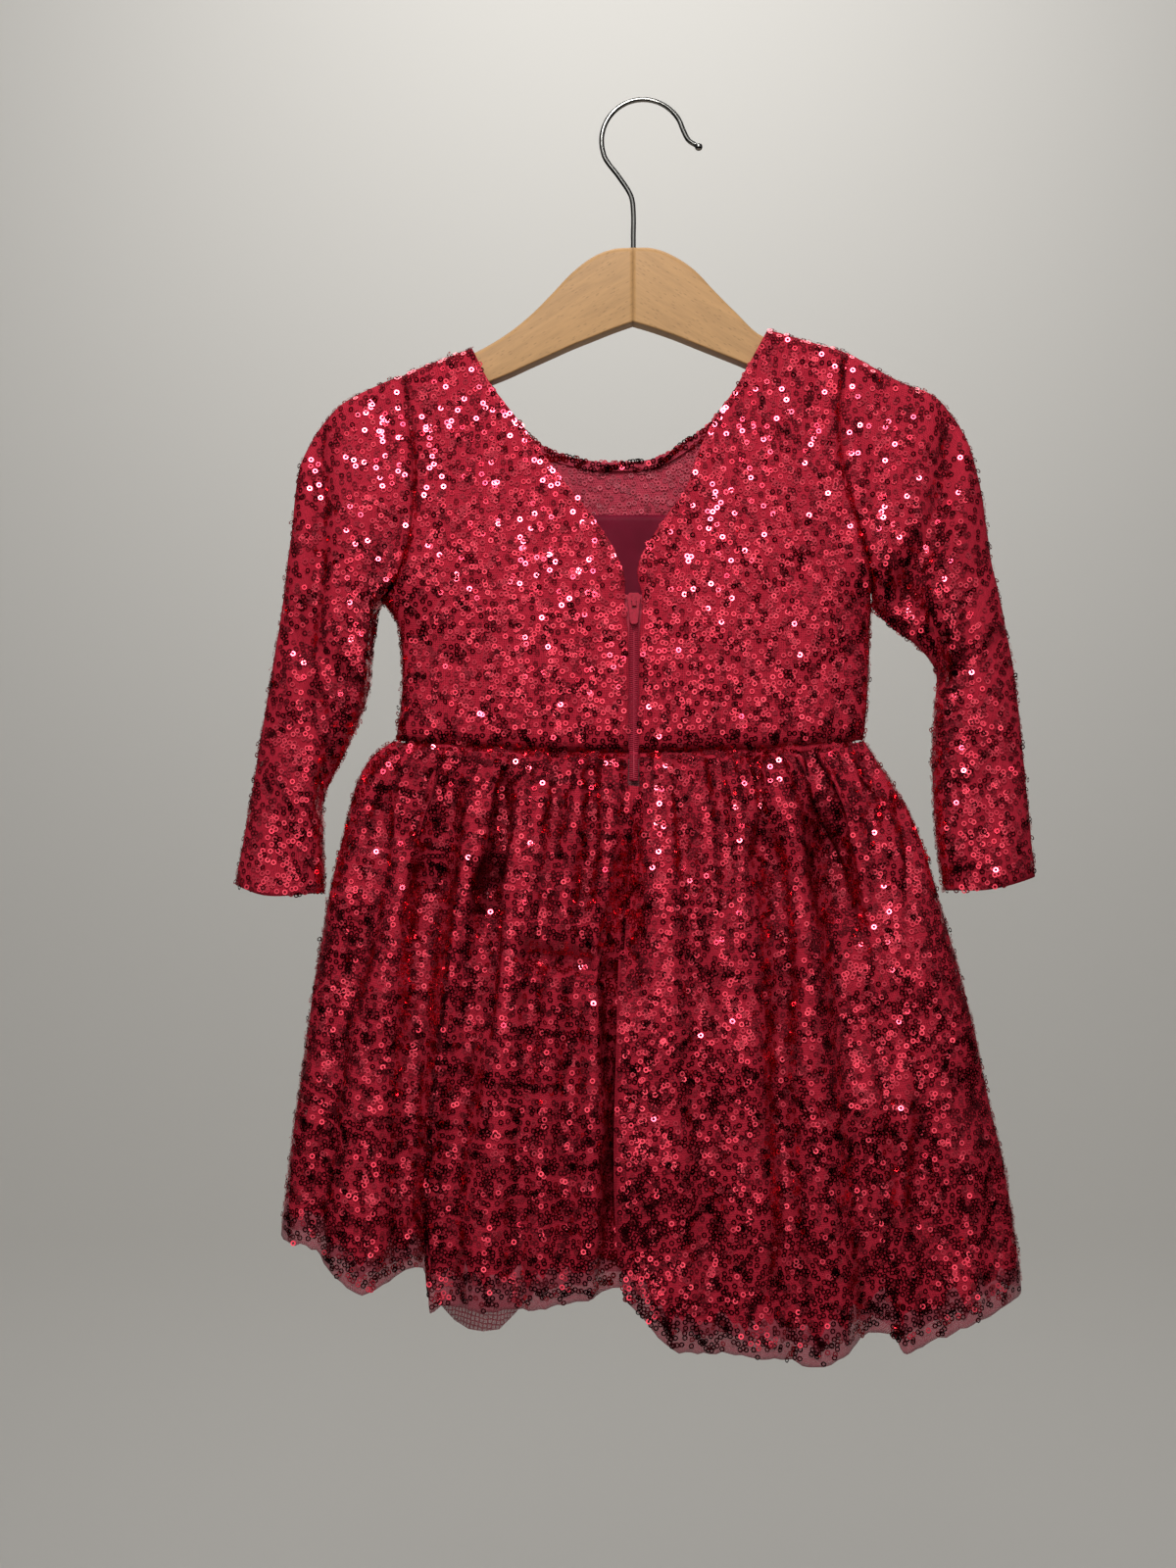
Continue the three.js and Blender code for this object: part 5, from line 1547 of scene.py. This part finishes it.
class DRESS_OT_underskirt(bpy.types.Operator):
    """Make the net underskirt"""

    bl_idname = "dress.underskirt"
    bl_label = "Net underskirt"

    def execute(self, context):
        half = 48
        turn = np.arange(2 * half)
        back = turn < half
        s = np.where(back, turn / half, (2 * half - turn) / half)
        s, v = np.meshgrid(s, spread(44))
        back = np.broadcast_to(back, s.shape)
        longer = column(NET_BELOW_HEM, "z", share_at(s)) * v
        behind = skirt_form("back", s, v, NET_INSET, gathered=False, longer=longer)
        longer = -NET_ABOVE_FRONT_HEM * v
        before = skirt_form("front", s, v, NET_INSET, gathered=False, longer=longer)
        grid = np.where(back[..., None], behind, before)
        grid[..., 1] = np.where((s == 0) | (s == 1), 0, grid[..., 1])
        for name in ("skirt_back_left", "skirt_back_right", "skirt_front"):
            pressed = creased(grid, CREASES[name], ring=True)
            mine = (grid[..., 1] > 0) if name == "skirt_front" else (grid[..., 1] < 0)
            grid = np.where(mine[..., None], pressed, grid)
        net = shell("underskirt_net", grid, TULLE_WALL, ring=True)
        dress_piece(net, "tulle", ["net_underskirt"])
        return {"FINISHED"}


class DRESS_OT_seams(bpy.types.Operator):
    """Make the seam allowances that close the seams from the inside"""

    bl_idname = "dress.seams"
    bl_label = "Seam allowances"

    def execute(self, context):
        # Each strip lies inside the cloth that it closes, by 2 to 3.6 mm.
        strips = []
        for face in ("back", "front"):
            for side in ("left", "right"):
                t, v = np.meshgrid(spread(50), spread(5))
                place = line(ARMHOLE[side])(t)
                place[..., 0] += 5 * (v - 0.5)
                strips.append((f"armhole_{side}_{face}", bodice_form(face, place, 2.8)))
            x, v = np.meshgrid(np.linspace(-119, 105.5, 110), spread(5))
            form = bodice_form(face, np.stack([x, waist_z(x) + 3.0], -1), 3.6)
            form[..., 2] = waist_z(x) + 3.0 - 6 * v
            strips.append((f"waist_{face}", form))
        gap = 0.02
        v, t = np.meshgrid(np.linspace(ZIP_END_SHARE, 0.97, 80), spread(5), indexing="ij")
        strips.append(("centre_back", skirt_form("back", 0.5 + gap * (t - 0.5), v, 2.0)))
        for name, grid in strips:
            strip = shell("seam_" + name, grid, SEAM_WALL)
            dress_piece(strip, "ground")
        return {"FINISHED"}


class DRESS_OT_zip(bpy.types.Operator):
    """Make the zip's coil and tapes and finish its slider and pull tab"""

    bl_idname = "dress.zip"
    bl_label = "Zip"

    def execute(self, context):
        low = waist_z(CENTRE_X) + 1
        for side, start, end in (("left", -TAPE_WIDTH, -EDGE), ("right", EDGE, TAPE_WIDTH)):
            t, v = np.meshgrid(spread(9), np.linspace(0, 1, 60))
            z = lerp(ZIP_TOP_Z, low, v)
            middle = centre_back(z)
            y = middle[..., 1] + 1.8
            grid = np.stack([middle[..., 0] + lerp(start, end, t), y, z], -1)
            tape = shell("zip_tape_" + side + "_woven", grid, TAPE_WALL)
            dress_piece(tape, "nylon", ["zip_tape_" + side])

        # Each turn of the coil is half an arch over one side: y follows a sine, x runs across.
        pitch = 0.95
        top = SLIDER_LOW_Z + 0.2
        count = int((top - ZIP_END_Z) / pitch)
        steps, sides = 7, 6
        turn = np.linspace(0, 1, steps)
        angle = np.arange(sides) * 2 * np.pi / sides
        places, faces = [], []
        index = np.arange(steps * sides).reshape(steps, sides)
        index = np.concatenate([index, index[:, :1]], axis=1)
        one = quads(index)
        z = top - pitch * np.arange(count)
        middle = centre_back(z)
        for sign, shift in ((-1, 0.0), (1, 0.5)):
            x = middle[:, None, 0] + sign * lerp(0.3, COIL_WIDTH / 2 - 0.1, turn)[None]
            y = middle[:, None, 1] + 0.55 - 0.35 * np.sin(np.pi * (0.15 + 0.85 * turn))[None]
            height = (z - shift * pitch)[:, None] + 0.1 * np.sin(np.pi * turn)[None]
            centre = np.stack([x, y, height], -1)
            ring = 0.34 * np.stack([np.zeros(sides), np.cos(angle), np.sin(angle)], -1)
            body = centre[:, :, None] + ring[None, None]
            before = len(places) * count * steps * sides
            places.append(body.reshape(-1, 3))
            faces.append((np.arange(count) * steps * sides)[:, None, None] + one[None] + before)
        faces = np.concatenate(faces).reshape(-1, 4)
        coil = make_mesh("zip_coil_turns", np.concatenate(places), [faces])
        dress_piece(coil, "nylon", ["zip_coil"])
        z = np.linspace(top, ZIP_END_Z + 0.5, 60)
        middle = centre_back(z)
        flat = np.array([(-2.1, 0.9), (2.1, 0.9), (2.1, 1.25), (-2.1, 1.25)])
        x, y = (middle[:, None, k] + flat[None, :, k] for k in (0, 1))
        core = rod("zip_coil_cord", np.stack([x, y, np.broadcast_to(z[:, None], x.shape)], -1))
        dress_piece(core, "nylon")
        for name in ("zip_slider", "zip_pull_tab"):
            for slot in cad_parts[name].material_slots:
                slot.material = finish_of("enamel")
        return {"FINISHED"}


class DRESS_OT_hanger(bpy.types.Operator):
    """Make the hanger's two beech halves and its chromed hook"""

    bl_idname = "dress.hanger"
    bl_label = "Hanger"

    def execute(self, context):
        u = np.concatenate([lerp(0.02, 131, spread(70)), [131.6, 131.9]])
        half = WOOD_HALF_THICK - 2 * smooth((u - 118) / 13)
        shrink = np.where(u > 131, (u - 131) * 2.2, 0)
        turn = np.linspace(0, np.pi / 2, 7)
        for side, sign in (("left", -1), ("right", 1)):
            top = column(HANGER_ARMS, "top" + side.title(), u) - shrink * 0.6
            low = column(HANGER_ARMS, "low" + side.title(), u) + shrink * 0.6
            wide = half - shrink
            crown = np.minimum(3.6, (top - low) * 0.4)
            foot = np.full(u.shape, 1.0)
            corners = []
            for y_sign, z_edge, radius, start in (
                (1, low, foot, 0), (1, top, crown, 1), (-1, top, crown, 2), (-1, low, foot, 3),
            ):
                z_sign = -1 if start in (1, 2) else 1
                swing = turn if start in (1, 3) else turn[::-1]
                y = y_sign * (wide[:, None] - radius[:, None] * (1 - np.cos(swing)[None]))
                z = z_edge[:, None] + z_sign * radius[:, None] * (1 - np.sin(swing)[None])
                corners.append(np.stack([y, z], -1))
            section = np.concatenate(corners, axis=1)
            x = np.broadcast_to((CENTRE_X + sign * u)[:, None], section.shape[:2])
            rings = np.stack([x, section[..., 0], section[..., 1]], -1)
            wood = rod(f"hanger_{side}_wood", rings)
            dress_piece(wood, f"beech_{side}", [f"hanger_{side}"])
        self.make_hook()
        return {"FINISHED"}

    def make_hook(self):
        """The hook: a round wire along a shank, a bend, the loop and a lip with a ball end."""
        centre_z = WIRE_R - HOOK_R
        degrees = np.radians(np.arange(207, 14, -16))
        loop = np.stack([HOOK_R * np.cos(degrees), centre_z + HOOK_R * np.sin(degrees)], -1)
        through = np.concatenate([
            points((SHANK_X, -83.5), (SHANK_X, -66), (SHANK_X, -54), (-6, -46), (-11.6, -37)),
            loop,
            points((22.2, -18.6), (26, -21.2)),
        ])
        t = spread(150)
        path = line(through)(t)
        way = np.gradient(path, axis=0)
        way /= np.linalg.norm(way, axis=1, keepdims=True)
        angle = np.radians([45, 60, 75, 90, 105, 120, 135, 150, 165, 174])
        ball = path[-1] + way[-1] * (HOOK_BALL_R * (math.cos(math.pi / 4) - np.cos(angle)))[:, None]
        path = np.concatenate([path, ball])
        way = np.concatenate([way, np.repeat(way[-1:], len(angle), axis=0)])
        radius = np.concatenate([np.full(150, WIRE_R), HOOK_BALL_R * np.sin(angle)])
        around = np.arange(16) * 2 * np.pi / 16
        across = np.stack([-way[:, 1], way[:, 0]], -1)
        out, up = radius[:, None] * np.cos(around), radius[:, None] * np.sin(around)
        x, z = (path[:, None, k] + across[:, None, k] * out for k in (0, 1))
        wire = rod("hook_wire", np.stack([x, up, z], -1))
        dress_piece(wire, "chrome", ["hook"])


def stage_board():
    """A floor far below the hung dress that curves up into a wall well behind it."""
    turn = np.linspace(0, np.pi / 2, 24)
    floor_z, wall_y, bend = -1850.0, 2300.0, 700.0
    curve_y, curve_z = wall_y - bend + bend * np.sin(turn), floor_z + bend * (1 - np.cos(turn))
    profile = np.concatenate([
        [[-1300, floor_z], [0, floor_z]], np.stack([curve_y, curve_z], -1), [[wall_y, 1800]],
    ])
    x, y = np.meshgrid([-3200.0, 3200.0], profile[:, 0])
    _, z = np.meshgrid([-3200.0, 3200.0], profile[:, 1])
    grid = np.stack([x, y, z], -1)
    index = np.arange(grid.shape[0] * 2).reshape(-1, 2)
    floor = make_mesh("stage_floor", grid, [quads(index)])
    floor.data.materials.append(matt_paint("matt_emulsion", chosen("backdrop")))


def stage_lamp(name, place, aim, size, watts):
    """A square soft light at a place, aimed at another."""
    data = bpy.data.lights.new(name, "AREA")
    data.shape = "SQUARE"
    data.size = size
    data.energy = watts
    lamp = bpy.data.objects.new(name, data)
    bpy.context.collection.objects.link(lamp)
    way = np.array(aim) - np.array(place)
    lamp.location = place
    tip, turn = math.acos(-way[2] / np.linalg.norm(way)), math.atan2(way[1], way[0]) - math.pi / 2
    lamp.rotation_euler = (tip, 0, turn)


def blended(tree, how, a, b):
    """Two colours blended in full."""
    made = node(tree, "ShaderNodeMix", data_type="RGBA", blend_type=how)
    made.inputs[0].default_value = 1.0
    tree.links.new(a, made.inputs[6])
    tree.links.new(b, made.inputs[7])
    return made.outputs[2]


def stage_room():
    """The room's light: bright in front and behind at eye height and above, dim below and to the
    sides, so that cloth that faces down or into a fold goes dark."""
    world = bpy.data.worlds.new("soft_room")
    bpy.context.scene.world = world
    world.use_nodes = True
    tree = world.node_tree
    way = node(tree, "ShaderNodeTexCoord").outputs["Generated"]
    parts = node(tree, "ShaderNodeSeparateXYZ", {"Vector": way})
    height = ramp(
        tree, ranged(tree, parts.outputs["Z"], 0.0, 1.0, -0.5, 0.5),
        (0.0, grey(0.008)), (0.26, grey(0.016)), (0.4, grey(0.05)), (0.46, grey(0.28)),
        (0.51, grey(1.1)), (0.56, grey(2.0)), (0.64, grey(1.7)), (0.72, grey(0.9)),
        (0.83, grey(1.3)), (0.92, grey(0.5)), (1.0, grey(0.4)),
    )
    ahead = node(tree, "ShaderNodeMath", {0: parts.outputs["Y"]}, operation="ABSOLUTE")
    facing = ramp(
        tree, ahead.outputs["Value"],
        (0.0, grey(0.03)), (0.5, grey(0.08)), (0.75, grey(0.3)), (0.87, grey(0.75)),
        (0.96, grey(1.0)),
    )
    overhead = ramp(tree, parts.outputs["Z"], (0.45, grey(0.0)), (0.9, grey(0.6)))
    either = blended(tree, "LIGHTEN", facing, overhead)
    both = blended(tree, "MULTIPLY", height, either)
    back = tree.nodes["Background"]
    tree.links.new(both, back.inputs["Color"])
    back.inputs["Strength"].default_value = 0.85


class DRESS_OT_stage(bpy.types.Operator):
    """Make the pale floor and wall, the soft lights and the camera"""

    bl_idname = "dress.stage"
    bl_label = "Stage"

    def execute(self, context):
        stage_board()
        stage_lamp("key_softbox", (-0.08, -0.72, 0.4), (0.0, 0.0, -0.25), 0.26, 5.6)
        stage_lamp("low_softbox", (-0.05, -1.0, -0.02), (0.0, 0.0, -0.3), 0.08, 0.65)
        stage_lamp("wall_light", (0.0, 0.9, 1.5), (0.0, 2.3, -0.2), 1.6, 33.0)
        stage_room()
        data = bpy.data.cameras.new("camera")
        data.sensor_width = 36.0
        data.lens = 36.0 * 860 / 768  # 860 mm away, the frame's long side spans 768 mm
        data.clip_end = 20.0
        camera = bpy.data.objects.new("camera", data)
        context.collection.objects.link(camera)
        camera.location = (-0.027, -0.860, -0.334)
        camera.rotation_euler = (math.pi / 2, 0, 0)
        context.scene.camera = camera
        context.scene.view_settings.view_transform = "Standard"
        return {"FINISHED"}


class DRESS_PT_panel(bpy.types.Panel):
    """Lists the dress's sizes, colours and pieces"""

    bl_label = "Sequin dress"
    bl_idname = "DRESS_PT_panel"
    bl_space_type = "VIEW_3D"
    bl_region_type = "UI"
    bl_category = "Dress"

    def draw(self, context):
        for group in (context.scene.dress_sizes, context.scene.dress_colours):
            box = self.layout.box()
            for name in group.__annotations__:
                box.prop(group, name)
        for operator in OPERATORS:
            self.layout.operator(operator.bl_idname)


OPERATORS = (
    DRESS_OT_stage,
    DRESS_OT_hanger,
    DRESS_OT_bodice,
    DRESS_OT_neck,
    DRESS_OT_sleeves,
    DRESS_OT_skirt,
    DRESS_OT_underskirt,
    DRESS_OT_seams,
    DRESS_OT_zip,
)
CLASSES = (DressSizes, DressColours, *OPERATORS, DRESS_PT_panel)


def register():
    """Adds the classes and the two groups of settings."""
    for cls in CLASSES:
        bpy.utils.register_class(cls)
    bpy.types.Scene.dress_sizes = bpy.props.PointerProperty(type=DressSizes)
    bpy.types.Scene.dress_colours = bpy.props.PointerProperty(type=DressColours)


def unregister():
    """Takes back what register adds."""
    del bpy.types.Scene.dress_colours
    del bpy.types.Scene.dress_sizes
    for cls in reversed(CLASSES):
        bpy.utils.unregister_class(cls)


def main():
    """Makes every piece in order."""
    register()
    for operator in OPERATORS:
        category, name = operator.bl_idname.split(".")
        getattr(getattr(bpy.ops, category), name)()


if __name__ == "__main__":
    main()
